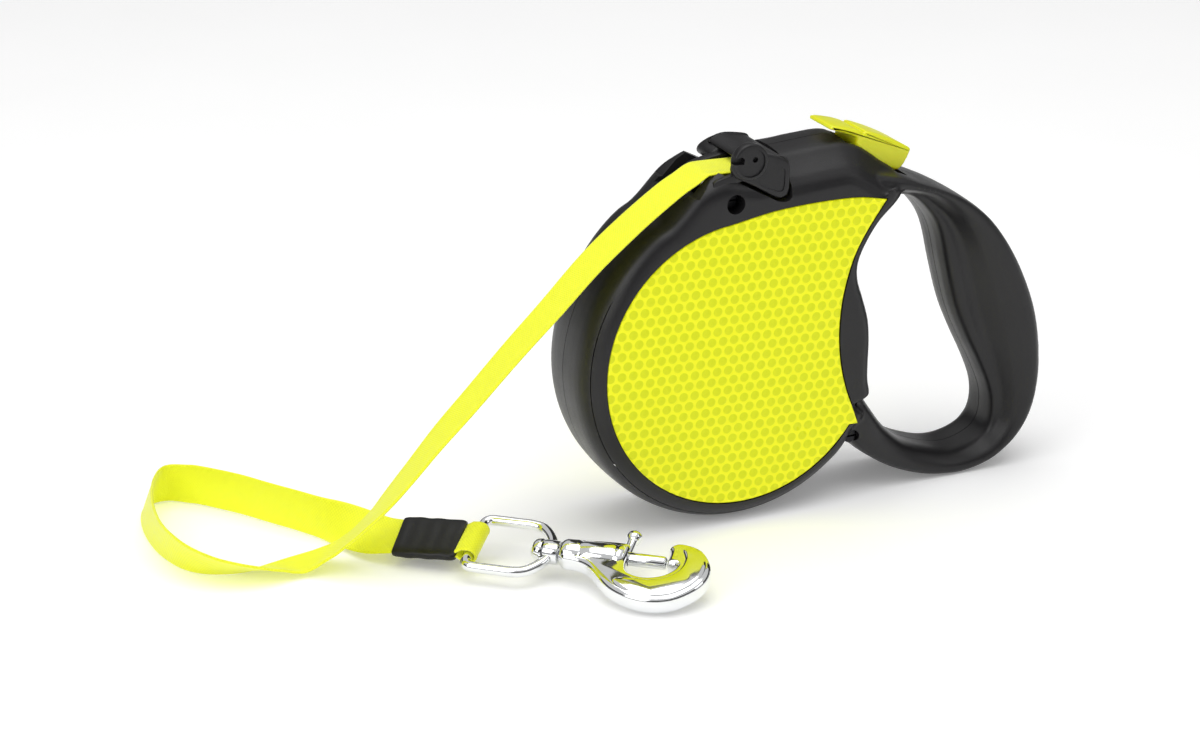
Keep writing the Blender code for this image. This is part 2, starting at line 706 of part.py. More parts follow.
def swivel_eye():
    """The link that the tape holds: a round wire with a bored boss for the hook's stud."""
    path = [(0, -9.5), (0.9, -11.6), (3.2, -12.3), (17.5, -12.3), (21, -11), (25, -6.4), (26.2, -3), (26.2, 3),
            (25, 6.4), (21, 11), (17.5, 12.3), (3.2, 12.3), (0.9, 11.6), (0, 9.5)]
    wire = tube("swivel_eye", [(u * MM, v * MM, 0) for u, v in path], WIRE_R, cyclic=True)
    eye = hook_piece(as_mesh(wire), CHROME)
    join(eye, turned_u("eye_boss", [(4.0, 29.4), (4.0, 24.2), (STUD_R + GAP, 24.2), (STUD_R + GAP, 29.4)]))
    bore = turned_u("eye_bore", [(0, 32), (STUD_R + GAP, 32), (STUD_R + GAP, 20), (0, 20)])
    cut(eye, bore)


def hook():
    outer = [(31, 4.6), (35, 5.2), (48, 6.4), (52.4, 6.0), (52.6, -3.4), (54.2, -7.2), (57.8, -8.8), (62, -9),
             (66.4, -7), (69.2, -3.8), (69.6, -1.6), (66.2, -1.4), (65.9, 4.4), (64.6, 6.6), (66.6, 9.2), (70.4, 9.4)]
    outer += [(76, 7.2), (80.2, 1.6), (81.5, -3.6), (80.6, -9), (77.6, -14.2), (72.4, -19), (66, -21), (59, -20.6),
              (52.4, -18), (48, -14.6), (43.6, -9.8), (40, -6.6), (35.4, -5.2), (31, -4.6)]
    body = hook_piece(flat("hook_body", outer, -3.3, 3.3, 1.2), CHROME)
    tube_profile = [(0, 51.6), (4.4, 51.6), (SHANK_R, 50.6), (SHANK_R, 32), (4.2, 29.9), (0, 29.9)]
    join(body, turned_u("hook_shank", tube_profile, 24))
    join(body, turned_u("hook_stud", [(0, 30.5), (STUD_R, 30.5), (STUD_R, 22.4), (0, 22.4)], 16))
    channel = turned_u("bolt_channel", [(0, 66.2), (ROD_R + GAP, 66.2), (ROD_R + GAP, 38), (0, 38)], 16)
    cut(body, off_centre(channel))
    cut(body, hook_tool(box("knob_slot", (42.8, ROD_V, -2.1), (58, 9, 2.1))))
    rivet = turned_u("hook_rivet", [(0, 20.0), (2.6, 20.3), (3.9, 21.6), (4.1, 23.9), (STUD_R + GAP, 23.9),
                                    (STUD_R + GAP, 22.1), (0, 22.1)][::-1], 20)
    place(rivet, PARTS, CHROME)


def bolt():
    """The sliding bolt and its knob, and the spring behind it."""
    tip = [(0, ROD_TIP), (1.5, ROD_TIP), (ROD_R, ROD_TIP - 1)]
    rod_piece = off_centre(turned_u("hook_bolt", tip + [(ROD_R, ROD_BACK), (0, ROD_BACK)], 16))
    place(rod_piece, PARTS, CHROME)
    knob = flat("knob", circle((0, 0), 1.7, 12), 0, 10)
    head = flat("knob_head", circle((0, 0), 2.7, 16), 9, 12.4, 0.8)
    stand = Matrix.Translation((KNOB_U * MM, ROD_V * MM, 0)) @ Matrix.Rotation(math.radians(-90), 4, "X")
    for piece in (knob, head):
        piece.data.transform(stand)
    join(rod_piece, hook_tool(knob), hook_tool(head))
    coil = []
    for i in range(37):
        angle = 2 * math.pi * i / 9
        coil.append(((38.6 + 5.8 * i / 36) * MM, (ROD_V + 1.7 * math.cos(angle)) * MM, 1.7 * math.sin(angle) * MM))
    hook_piece(tube("bolt_spring", coil, 0.3, sides=0), STEEL)


clear_scene()
PARTS = collection("retractable_leash")
CUTTERS = collection("cutters")
BLACK = material("housing_black", (0.028, 0.026, 0.03), 0.42)
YELLOW = material("signal_yellow", (0.84, 0.86, 0.01), 0.45)
GREY = material("mechanism_grey", (0.18, 0.18, 0.19), 0.5)
RUBBER = material("sleeve_black", (0.012, 0.012, 0.013), 0.6)
STEEL = material("steel", (0.62, 0.62, 0.64), 0.3, 1.0)
CHROME = material("chrome", (0.85, 0.85, 0.87), 0.08, 1.0)
housing()
labels()
screws()
outlet_guide()
roller()
spool()
mainspring()
brake()
button()
free_tape()
tape_lead()
sleeve()
tape_loop()
swivel_eye()
hook()
bolt()
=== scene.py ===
# %% [markdown]
# # A retractable tape leash
# The real object is a round plastic housing with a loop handle. A spring-driven spool inside it winds a flat
# woven tape, which leaves at the nose, falls to the floor, turns round in a loop and ends in a black sleeve,
# a swivel eye and a snap hook. The exact pieces and joints come from the frame. This script builds the skin
# that is seen, piece by piece, in metres, in the same frame.

# %% Load the frame
import math

import bmesh
import bpy
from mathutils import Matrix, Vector


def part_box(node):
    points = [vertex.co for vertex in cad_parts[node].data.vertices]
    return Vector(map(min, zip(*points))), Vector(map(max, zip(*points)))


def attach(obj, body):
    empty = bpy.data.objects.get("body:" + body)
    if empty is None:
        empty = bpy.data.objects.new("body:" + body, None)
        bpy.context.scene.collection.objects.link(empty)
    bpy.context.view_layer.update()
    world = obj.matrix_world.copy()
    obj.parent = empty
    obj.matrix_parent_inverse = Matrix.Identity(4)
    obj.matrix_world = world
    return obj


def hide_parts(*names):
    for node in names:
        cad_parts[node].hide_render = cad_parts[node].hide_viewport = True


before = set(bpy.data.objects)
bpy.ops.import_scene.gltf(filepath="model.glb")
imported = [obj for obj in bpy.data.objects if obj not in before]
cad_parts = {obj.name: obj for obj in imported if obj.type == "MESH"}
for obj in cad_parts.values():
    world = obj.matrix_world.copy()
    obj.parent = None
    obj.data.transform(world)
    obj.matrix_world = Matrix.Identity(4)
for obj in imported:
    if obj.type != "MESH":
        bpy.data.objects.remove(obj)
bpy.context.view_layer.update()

# %% [markdown]
# Outlines of a round housing read best in millimetres from the foot of the spool's axis. One helper turns
# them into places in the frame. The spool axle's own box says where that axis is.

# %% Places in the frame
MM = 0.001
axle_low, axle_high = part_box("spool_axle")
AXIS = (axle_low + axle_high) / 2
SPOOL_Z = AXIS.z / MM


def place(x, z, y=0.0):
    """The point x and z millimetres from the foot of the spool's axis, and y into the housing's depth."""
    return Vector((AXIS.x + x * MM, AXIS.y + y * MM, z * MM))


print("spool axis at", [round(v, 4) for v in AXIS])

# %% [markdown]
# ## Camera
# The leash is seen from its front left and a little above, from a metre away through a long lens, so that its
# parallel edges stay almost parallel.

# %% Camera
HEADING, DOWN = 23.99, 21.55
camera = bpy.data.objects.new("camera", bpy.data.cameras.new("camera"))
bpy.context.scene.collection.objects.link(camera)
camera.location = (-0.4537, -0.8501, 0.4225)
camera.rotation_euler = (math.radians(90 - DOWN), 0.0, math.radians(-HEADING))
camera.data.lens = 89.64
camera.data.sensor_width = 36.0
camera.data.sensor_fit = "HORIZONTAL"
bpy.context.scene.camera = camera
print("camera at", [round(v, 3) for v in camera.location])

# %% [markdown]
# ## Mesh helpers
# Most pieces here are lofts: rings of points, joined ring to ring, like the hoops and planks of a barrel. A
# loft gives full control of a moulded section. Straight lists of control points are first made smooth with a
# Catmull-Rom curve, which passes through every point it is given.


# %% Curves through points
def weave_curve(a, b, c, d, t):
    """The Catmull-Rom value between b and c, for numbers or vectors."""
    return b + ((c - a) * t + (2 * a - 5 * b + 4 * c - d) * t**2 + (3 * b - 3 * c + d - a) * t**3) / 2


def smooth_ring(points, steps):
    """A closed list of tuples, with this many steps from each point to the next."""
    found = []
    for i in range(len(points)):
        four = [points[(i + k) % len(points)] for k in (-1, 0, 1, 2)]
        for j in range(steps):
            found.append(tuple(weave_curve(*values, j / steps) for values in zip(*four)))
    return found


def smooth_line(points, steps):
    """An open list of tuples, with this many steps from each point to the next."""
    before = tuple(2 * a - b for a, b in zip(points[0], points[1]))
    after = tuple(2 * a - b for a, b in zip(points[-1], points[-2]))
    ends = [before, *points, after]
    found = []
    for i in range(1, len(ends) - 2):
        for j in range(steps):
            found.append(tuple(weave_curve(*values, j / steps) for values in zip(*ends[i - 1:i + 3])))
    return found + [tuple(points[-1])]


def arc(center, radius, start, end, count):
    """Points along an arc, in degrees, both ends included."""
    points = []
    for i in range(count + 1):
        angle = math.radians(start + (end - start) * i / count)
        points.append((center[0] + radius * math.cos(angle), center[1] + radius * math.sin(angle)))
    return points


def ring_points(center, radius, count=48):
    return arc(center, radius, 0, 360, count)[:-1]


print("curve helpers ready")


# %% Mesh objects
def mesh_piece(name, work):
    """An object of this bmesh, its faces turned outwards."""
    bmesh.ops.recalc_face_normals(work, faces=work.faces)
    mesh = bpy.data.meshes.new(name)
    work.to_mesh(mesh)
    work.free()
    piece = bpy.data.objects.new(name, mesh)
    bpy.context.scene.collection.objects.link(piece)
    return piece


def loft(name, rings, closed=False):
    """A skin over rings of points, with a flat face on each end unless the rings close on themselves."""
    work = bmesh.new()
    hoops = [[work.verts.new(point) for point in ring] for ring in rings]
    pairs = list(zip(hoops, hoops[1:]))
    if closed:
        pairs.append((hoops[-1], hoops[0]))
    for first, second in pairs:
        for i in range(len(first)):
            j = (i + 1) % len(first)
            work.faces.new((first[i], first[j], second[j], second[i]))
    if not closed:
        work.faces.new(hoops[0])
        work.faces.new(hoops[-1])
    return mesh_piece(name, work)


def slab(name, outline, low, high):
    """A plate upright in the housing's plane, from y = low to y = high."""
    return loft(name, [[place(x, z, y) for x, z in outline] for y in (low, high)])


def applied(piece):
    """Makes the piece's modifiers part of its mesh."""
    graph = bpy.context.evaluated_depsgraph_get()
    mesh = bpy.data.meshes.new_from_object(piece.evaluated_get(graph))
    piece.modifiers.clear()
    piece.data = mesh
    return piece


def carve(piece, tool, operation="DIFFERENCE"):
    """Cuts the tool out of the piece, or joins or keeps what they share, and uses the tool up."""
    modifier = piece.modifiers.new("carve", "BOOLEAN")
    modifier.operation = operation
    modifier.solver = "MANIFOLD"
    modifier.object = tool
    applied(piece)
    bpy.data.objects.remove(tool)
    return piece


def merge(first, *others):
    for other in others:
        carve(first, other, "UNION")
    return first


def melt(piece, voxel, passes):
    """Runs overlapping lofts together into one skin and softens the places where they meet."""
    remesh = piece.modifiers.new("melt", "REMESH")
    remesh.mode = "VOXEL"
    remesh.voxel_size = voxel * MM
    soften = piece.modifiers.new("soften", "SMOOTH")
    soften.factor = 0.5
    soften.iterations = passes
    return applied(piece)


def joined(name, *pieces):
    """One object of several overlapping closed skins, ready to melt."""
    work = bmesh.new()
    for piece in pieces:
        mesh = piece.data
        mesh.transform(piece.matrix_world)
        work.from_mesh(mesh)
        bpy.data.objects.remove(piece)
    return mesh_piece(name, work)


def shade(piece, angle=35):
    """Smooth shading that keeps edges sharper than the angle."""
    piece.data.shade_smooth()
    piece.data.set_sharp_from_angle(angle=math.radians(angle))
    return piece


print("mesh helpers ready")

# %% [markdown]
# ## The free tape
# The tape is 15 mm wide and a millimetre thick. It leaves over the outlet's roller with its width level,
# falls in an almost straight run and lands nearly flat. Its near edge then rises, so it stands on edge round
# the loop, passes under its own falling run and leans over again at the sleeve. The route is a list of
# points, each with the lean of the tape's width from upright. A loft along it keeps the tape's flat section.

# %% The tape's route
TAPE_WIDTH, TAPE_THICK = 15.0, 1.0
TAPE_ROUTE = [
    (-0.0284, -0.006, 0.1239, 90), (-0.0402, -0.006, 0.1242, 90), (-0.0434, -0.006, 0.1237, 90),
    (-0.0476, -0.0063, 0.1215, 90), (-0.0545, -0.0069, 0.118, 90), (-0.0682, -0.0083, 0.1094, 90),
    (-0.0831, -0.0098, 0.0985, 90), (-0.0976, -0.0106, 0.0851, 90),
    (-0.1118, -0.0107, 0.0718, 90), (-0.1257, -0.0102, 0.0576, 90), (-0.1375, -0.0093, 0.0454, 90),
    (-0.1479, -0.0076, 0.0329, 90), (-0.1562, -0.0054, 0.0228, 90), (-0.1627, -0.0024, 0.015, 90),
    (-0.1687, 0.0011, 0.0086, 90), (-0.1746, 0.0045, 0.0042, 90), (-0.1804, 0.0063, 0.0021, 92),
    (-0.1865, 0.0062, 0.002, 99), (-0.1932, 0.0052, 0.0031, 110), (-0.2007, 0.0055, 0.0045, 123),
    (-0.2079, 0.0082, 0.0057, 135), (-0.2139, 0.0134, 0.0067, 149), (-0.2178, 0.0205, 0.0074, 162),
    (-0.2198, 0.0291, 0.0078, 171), (-0.2201, 0.0394, 0.0079, 181), (-0.2189, 0.051, 0.0078, 190),
    (-0.2166, 0.0615, 0.0076, 197), (-0.2135, 0.07, 0.0075, 200), (-0.2095, 0.0753, 0.0075, 197),
    (-0.2047, 0.0763, 0.0076, 190), (-0.1992, 0.0724, 0.0078, 184), (-0.1952, 0.0688, 0.0079, 182),
    (-0.1856, 0.0566, 0.008, 180), (-0.1786, 0.0456, 0.008, 180), (-0.1717, 0.035, 0.008, 179),
    (-0.1655, 0.0253, 0.0078, 174), (-0.16, 0.0168, 0.0075, 148), (-0.155, 0.0096, 0.0072, 133),
    (-0.1512, 0.0061, 0.00705, 120), (-0.14765, 0.00295, 0.00737, 114),
]


def tape_frames(route, steps):
    """Centre, width direction and face direction along the tape."""
    line = smooth_line(route, steps)
    spots = [Vector(row[:3]) for row in line]
    frames = []
    for i, row in enumerate(line):
        ahead = (spots[min(i + 1, len(spots) - 1)] - spots[max(i - 1, 0)]).normalized()
        side = ahead.cross(Vector((0, 0, 1))).normalized()
        upright = side.cross(ahead)
        lean = math.radians(row[3])
        width = upright * math.cos(lean) + side * math.sin(lean)
        frames.append((spots[i], width, ahead.cross(width)))
    return frames


tape_line = tape_frames(TAPE_ROUTE, 10)

# %% [markdown]
# Woven tape has thin flat faces and slightly thicker, rounded edges where the weft turns back. The section is
# drawn once, across the width, and carried along the route. Each corner also gets a UV, so that the weave can
# follow the tape round its bends: U counts metres along it and V metres across it.


# %% Tape pieces
def tape_section(width, thick):
    """Points round half the tape's section and back, in millimetres across and through it."""
    half, t = width / 2, thick / 2
    across = [-half, -half + 0.25, -half + 0.8, -half + 1.6, -half / 2, 0.0, half / 2, half - 1.6, half - 0.8,
              half - 0.25, half]
    through = [0.0, t * 0.8, t, t * 0.78, t * 0.8, t * 0.8, t * 0.8, t * 0.78, t, t * 0.8, 0.0]
    top = list(zip(across, through))
    return top + [(a, -b) for a, b in top[-2:0:-1]]


def tape_piece(name, stations, width=TAPE_WIDTH, thick=TAPE_THICK):
    """A tape skinned along its stations, with UVs in metres."""
    section = tape_section(width, thick)
    rings = [[spot + wide * (a * MM) + face * (b * MM) for a, b in section] for spot, wide, face in stations]
    piece = loft(name, rings)
    length, travelled = 0.0, {}
    for i, (spot, _, _) in enumerate(stations):
        length += (spot - stations[i - 1][0]).length if i else 0.0
        for k in range(len(section)):
            travelled[i * len(section) + k] = (length, section[k][0] * MM)
    uv = piece.data.uv_layers.new(name="weave")
    for loop in piece.data.loops:
        uv.data[loop.index].uv = travelled[loop.vertex_index]
    return shade(piece, 60)


free_tape = tape_piece("free_tape", tape_line)
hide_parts("tape_free")
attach(free_tape, "housing")
low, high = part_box("tape_free")
skin = [free_tape.matrix_world @ v.co for v in free_tape.data.vertices]
print("tape solid", [round(v, 4) for v in low], [round(v, 4) for v in high])
print("tape skin ", [round(min(p[k] for p in skin), 4) for k in range(3)],
      [round(max(p[k] for p in skin), 4) for k in range(3)])

# %% [markdown]
# ## Housing form
# The housing is a deep moulded shell. Its outline is carried through the depth, and drawn in towards the
# faces by a profile that changes on the way round: the disc's rim rolls over in a wide curve, the nose has a
# firm ridge, the crest is a level strip with a crease and a sloping flank, and the finger side has a small
# round. Each outline point holds a number that says which profile it follows, so neighbouring profiles melt
# into each other.

# %% Edge profiles of the housing
HALF_DEPTH = 19.0
# Pairs of how far the edge is drawn in and how far out from the middle plane it lies, in millimetres
RIM_EDGE = [(0, 0), (0.1, 5), (0.35, 9), (0.8, 11.5), (1.6, 13.6), (2.7, 15.4), (4.1, 17), (5.6, 18.2),
            (7.0, 18.8),
            (8.2, 19)]
NOSE_EDGE = [(0, 0), (0.05, 6), (0.1, 11), (0.2, 14), (0.5, 15.9), (1.1, 17.2), (2.1, 18.1), (3.4, 18.6),
             (5.4, 18.9),
             (8.2, 19)]
CREST_EDGE = [(-0.6, 0), (-0.5, 3), (-0.3, 6), (0, 8.2), (0.8, 9.6), (2.4, 11.2), (4.4, 13.4), (6.6, 16),
              (9.0, 18),
              (12.0, 19)]
FINGER_EDGE = [(0, 0), (0.0, 6), (0.0, 11), (0.1, 14), (0.5, 15.8), (1.1, 17), (1.9, 17.9), (2.8, 18.5),
               (3.8, 18.9),
               (5.0, 19)]
EDGES = [RIM_EDGE, NOSE_EDGE, CREST_EDGE, FINGER_EDGE]


def edge_at(kind):
    """The profile for a number between 0, the rim, and 3, the finger side."""
    kind = min(max(kind, 0.0), len(EDGES) - 1.001)
    low = int(kind)
    share = kind - low
    return [tuple(a + (b - a) * share for a, b in zip(p, q)) for p, q in zip(EDGES[low], EDGES[low + 1])]


print("profiles:", len(EDGES), "of", len(RIM_EDGE), "points")

# %% [markdown]
# The outline starts at the nose and runs down the front, round the foot, up the finger side and back along
# the crest. The disc is a true arc, and the rest is drawn through a few given points.

# %% The housing's outline
DISC_R = 58.0
FRONT_KINDS = [1.0, 0.9, 0.72, 0.5, 0.3, 0.12] + [0.0] * 11
FRONT = [(x, z, kind) for (x, z), kind in zip(arc((0, SPOOL_Z), DISC_R, 116, 212, 16), FRONT_KINDS)]
FOOT = [(x, max(z, 0.08), 0.0) for x, z in arc((0, SPOOL_Z), DISC_R, 219, 316, 14)]
FINGERS = [(46.6, 25.0, 0.0), (49.6, 32.5, 1.6), (50.5, 38.5, 3), (49.6, 44, 3), (49.5, 51, 3), (49.6, 58, 3),
           (48.9, 66, 3), (46.6, 74, 3), (44.4, 81, 3), (44.4, 87, 3), (47.0, 93.2, 3), (51.5, 100, 3),
           (57.0, 105.2, 3), (62, 109.5, 2.6)]
CROWN = [(61.0, 115.2, 2), (55, 119.8, 2), (48.5, 124.6, 2), (44, 126.9, 2), (39, 128.1, 2), (30, 127.8, 2),
         (17, 126.9, 2), (5, 127.4, 2), (-5, 126.6, 1.6), (-11.5, 123.0, 1.2), (-17, 118.6, 1.0)]
outline = smooth_ring(FRONT + FOOT + FINGERS + CROWN, 4)
print("outline points:", len(outline))


def drawn_in(points, steps):
    """The inward direction at each point of an outline that runs anticlockwise, evened out over neighbours."""
    normals = []
    for i, point in enumerate(points):
        before, after = points[i - 1], points[(i + 1) % len(points)]
        run = Vector((after[0] - before[0], after[1] - before[1])).normalized()
        normals.append(Vector((-run.y, run.x)))
    for _ in range(steps):
        normals = [(normals[i - 1] + normals[i] * 2 + normals[(i + 1) % len(points)]).normalized()
                   for i in range(len(points))]
    return normals


def housing_form():
    """The closed body of both halves, without the handle."""
    inward = drawn_in(outline, 3)
    profiles = [edge_at(kind) for _, _, kind in outline]
    rings = []
    count = len(RIM_EDGE)
    for k in list(range(count - 1, 0, -1)) + list(range(count)):
        side = -1 if len(rings) < count - 1 else 1
        ring = []
        for (x, z, _), way, profile in zip(outline, inward, profiles):
            inset, y = profile[k]
            ring.append(place(x + way.x * inset, z + way.y * inset, side * y))
        rings.append(ring)
    return loft("housing_form", rings)


# %% [markdown]
# The handle is a loft round its own stations. Each station has an outer point in the palm, an inner point at
# the fingers and a half depth. Its section is a bowl: a narrow pad for the fingers, a groove beside it, a
# flank that flares out, and a broad crowned face for the palm. The foot of the handle is a plain low bar, so
# the section eases from bowl to bar on the way round.

# %% The handle's stations and section
HANDLE = [
    (46, 118.5, 47, 104.5, 16.4, 0.4), (54, 116.8, 52.5, 104.4, 16.6, 0.55),
    (62.5, 114.2, 58, 106, 16.9, 0.7),
    (70, 111, 63.5, 106.1, 16.9, 0.85), (77.5, 108, 69, 104.3, 17, 1), (86.5, 103.4, 74, 100, 17.2, 1),
    (96.5, 95.4, 78.5, 94, 17.5, 1), (105.1, 84.3, 81.3, 87, 17.7, 1), (111.9, 72.2, 84, 76, 17.7, 1),
    (117, 59.5, 88.3, 61, 17.5, 1), (119.6, 46, 93.5, 49, 17.2, 1), (120, 32, 99, 38, 16.8, 0.95),
    (117.5, 20, 103.3, 27.5, 16.2, 0.85), (112, 10.5, 104, 19, 15.4, 0.7), (103, 3.3, 101.5, 12.8, 14.6, 0.5),
    (93, 0.1, 95, 9.2, 14, 0.3), (84, 0.1, 87, 8.2, 14, 0.2), (74, 1.8, 78, 10.4, 14.2, 0.15),
    (63, 6, 68.5, 14.6, 14.8, 0.1), (54, 11.5, 60, 22, 15.6, 0.05), (48, 16.5, 53.3, 31, 16.2, 0.0),
    (42, 23, 47.5, 40, 16.4, 0.0),
]
# How far from the fingers to the palm, and how deep, both from 0 to 1
BOWL = [(-0.03, 0.0), (-0.03, 0.2), (0.0, 0.4), (0.05, 0.5), (0.14, 0.53), (0.2, 0.5), (0.27, 0.53),
        (0.36, 0.66),
        (0.48, 0.83), (0.62, 0.95), (0.76, 1.0), (0.86, 0.985), (0.93, 0.9), (0.975, 0.66), (1.0, 0.34),
        (1.01, 0.0)]
BAR = [(0.0, 0.0), (0.0, 0.24), (0.0, 0.46), (0.02, 0.6), (0.07, 0.74), (0.13, 0.83), (0.22, 0.9),
       (0.32, 0.94),
       (0.44, 0.97), (0.56, 0.98), (0.7, 0.98), (0.82, 0.95), (0.91, 0.88), (0.97, 0.7), (1.0, 0.38),
       (1.0, 0.0)]


def handle_form():
    """The loop handle, its ends sunk in the housing."""
    rings = []
    for outer_x, outer_z, inner_x, inner_z, depth, bowl in smooth_line(HANDLE, 4):
        outer, inner = Vector((outer_x, outer_z)), Vector((inner_x, inner_z))
        half = [tuple(b + (a - b) * bowl for a, b in zip(p, q)) for p, q in zip(BOWL, BAR)]
        ring = []
        for along, deep in half + [(a, -d) for a, d in half[-2:0:-1]]:
            spot = inner.lerp(outer, along)
            ring.append(place(spot.x, spot.y, deep * depth))
        rings.append(ring)
    return loft("handle_form", rings)


print("handle stations:", len(HANDLE))

# %% [markdown]
# Where the handle grows out of the housing the real moulding has soft hollows, not a seam. Both lofts are
# melted into one skin by a voxel remesh, and a few smoothing passes turn the meeting line into a fillet. The
# crisp features are cut afterwards, so they stay crisp.

# %% Melt the housing and the handle together
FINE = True
housing_skin = joined("housing_skin", housing_form(), handle_form())
housing_skin = melt(housing_skin, 0.7 if FINE else 1.1, 5)
print("housing skin:", len(housing_skin.data.vertices), "vertices,", "fine" if FINE else "quick")

# %% [markdown]
# ## Cuts in the housing
# The halves hold the spool and the brake in a hollow, the outlet sits in a notch, and the labels lie in
# recesses a millimetre deep with a hairline gap all round. The label's outline is a disc with a level top and
# a hollowed handle side.


# %% The label's outline
def label_outline(margin=0.0):
    """The label's edge, or the recess's when there is a margin."""
    ring = arc((0, SPOOL_Z), 50.0 + margin, 96, 325, 60)
    m = margin
    hollow = [(44.3 + m, 29.2 - m), (42.2 + m, 35), (39.2 + m, 43), (37.0 + m, 52), (36.0 + m, 62),
              (36.4 + m, 72),
              (38.0 + m, 81), (41.0 + m, 90.5), (45.6 + m, 99), (52.6 + 1.4 * m, 109 + m)]
    top = [(52.6 + 1.4 * m, 109 + m), (43, 110.9 + m), (33, 111.4 + m), (20, 111.1 + m), (8.5, 110.1 + m)]
    start = [(-5.2, SPOOL_Z + 49.7 + margin)]
    return ring + smooth_line(hollow, 6) + smooth_line(top + start, 6)[1:-1]


print("label outline points:", len(label_outline()))

# %% [markdown]
# Each cut is a plain slab, taken out with a Boolean. The Manifold solver is fast and exact enough on meshes
# as dense as this one.

# %% Cut the hollow, the notch, the slot and the recesses
CAVITY = arc((0, SPOOL_Z), 55.0, 118, 300, 40) + [
    (36, 17.5), (41, 24), (44.5, 31), (46.8, 39), (47.2, 50), (47.2, 59), (46, 67.5), (43.6, 75.5),
    (41.8, 82),
    (42, 88), (44, 93.5), (48.5, 101), (53, 105.5), (57, 108.8), (57, 113), (51.5, 117.5), (44.5, 122.6),
    (39, 125.2), (30, 125.2), (18.9, 124.4), (18.7, 112), (10.5, 111.4), (2, 113.5), (-8, 117), (-15, 115.4),
    (-20, 111.3)]
NOTCH = [(16.3, 140), (16.5, 126.4), (16.9, 118), (16.6, 114.6), (15.6, 113.6), (14.2, 113.2), (11.4, 113.8),
         (-8, 124.6), (-11.5, 122.6), (-16.5, 117.4), (-24, 117.4), (-24, 140)]
SLOT = [(41.6, 136), (41.6, 121.5), (46, 117.2), (54, 112.4), (61, 109.8), (65.0, 109.8), (67, 115),
        (70, 130)]
THROAT = [(-22, 129), (-22, 115.8), (-12.8, 115.9), (-5, 116.2), (0.5, 117), (4, 111), (20, 111), (20, 117),
          (16.1, 119.5), (16.1, 129)]
NOSE_SCREW, REAR_SCREW = (-4.0, 114.7), (43.9, 22.7)
# The crest is narrower than the disc, so the hollow is full width only below its foot
CREST_FOOT = 108.0
LOWER_CAVITY = [(x, min(z, CREST_FOOT)) for x, z in CAVITY]
HOUSING_CUTS = [("hollow", CAVITY, 8.4), ("lower_hollow", LOWER_CAVITY, 16.0), ("notch", NOTCH, 30.0),
                ("throat", THROAT, 11.4), ("slot", SLOT, 8.6)]
for name, cut_outline, half in HOUSING_CUTS:
    carve(housing_skin, slab(name, cut_outline, -half, half))
for side in (-1, 1):
    edge = sorted((side * (HALF_DEPTH - 1.0), side * (HALF_DEPTH + 3)))
    carve(housing_skin, slab("recess", label_outline(0.35), *edge))
print("after the cuts:", len(housing_skin.data.vertices), "vertices")

# %% [markdown]
# The near half has two screw holes that show, one by the nose and one at the foot of the handle. Each is a
# plain counterbore with the screw's head at the bottom. Last, the skin is cut along its middle plane into the
# two halves that the factory moulds, with a hairline between them, which is the parting line seen on the rim
# and the handle.


# %% Screw holes and halves
def disc_slab(name, center, radius, low, high, count=40):
    return slab(name, ring_points(center, radius, count), low, high)


def half_of(skin, name, side):
    """A copy of the skin on one side of the middle plane."""
    half = bpy.data.objects.new(name, skin.data.copy())
    bpy.context.scene.collection.objects.link(half)
    low, high = sorted((side * 0.13, side * 60.0))
    square = [(-90, -20), (160, -20), (160, 170), (-90, 170)]
    return carve(half, slab("side", square, low, high), "INTERSECT")


shell_near = half_of(housing_skin, "shell_near_skin", -1)
shell_far = half_of(housing_skin, "shell_far_skin", 1)
bpy.data.objects.remove(housing_skin)
carve(shell_near, disc_slab("nose_hole", NOSE_SCREW, 3.3, -30, -11.6))
carve(shell_near, disc_slab("rear_hole", REAR_SCREW, 2.8, -30, -11.6))
for shell, node in ((shell_near, "shell_near"), (shell_far, "shell_far")):
    shade(shell, 32)
    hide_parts(node)
    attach(shell, "housing")
    print(shell.name, len(shell.data.polygons), "faces")

# %% [markdown]
# ## Plastic, film and metal
# A moulded plastic is not one flat colour. The mould's spark-eroded skin leaves a fine grain, the gloss
# differs a little from place to place, and edges that rub are paler. Each finish below is a Principled shader
# with its noise in the object's own metres. Numbers that are the same all over are set on the shader's
# sockets.


# %% Material helpers
def finish(name, **values):
    """A new material and its shader, with these values on the shader's sockets."""
    made = bpy.data.materials.new(name)
    made.use_nodes = True
    shader = made.node_tree.nodes["Principled BSDF"]
    for socket, value in values.items():
        shader.inputs[socket.replace("_", " ")].default_value = value
    return made, shader


def node(material, kind, inputs=(), **settings):
    """A node of this kind. Each input is a value, or a socket of another node to link from."""
    made = material.node_tree.nodes.new(kind)
    for key, value in settings.items():
        setattr(made, key, value)
    for key, value in dict(inputs).items():
        if isinstance(value, bpy.types.NodeSocket):
            material.node_tree.links.new(value, made.inputs[key])
        else:
            made.inputs[key].default_value = value
    return made


def wire(material, source, target):
    material.node_tree.links.new(source, target)


def object_place(material):
    return node(material, "ShaderNodeTexCoord").outputs["Object"]


def noise(material, scale, detail=3.0, rough=0.5, vector=None):
    """A noise's factor, its scale in cells per metre."""
    where = vector or object_place(material)
    return node(material, "ShaderNodeTexNoise", {"Vector": where, "Scale": scale, "Detail": detail,
                                                 "Roughness": rough}).outputs["Fac"]


def ramp(material, value, low, high, to_low, to_high):
    """Maps low..high onto to_low..to_high."""
    return node(material, "ShaderNodeMapRange", {0: value, 1: low, 2: high, 3: to_low, 4: to_high}).outputs[0]


def mixed(material, factor, first, second):
    made = node(material, "ShaderNodeMix", data_type="RGBA")
    wire(material, factor, made.inputs["Factor"])
    for socket, color in ((made.inputs["A"], first), (made.inputs["B"], second)):
        if isinstance(color, bpy.types.NodeSocket):
            wire(material, color, socket)
        else:
            socket.default_value = (*color, 1.0)
    return made.outputs["Result"]


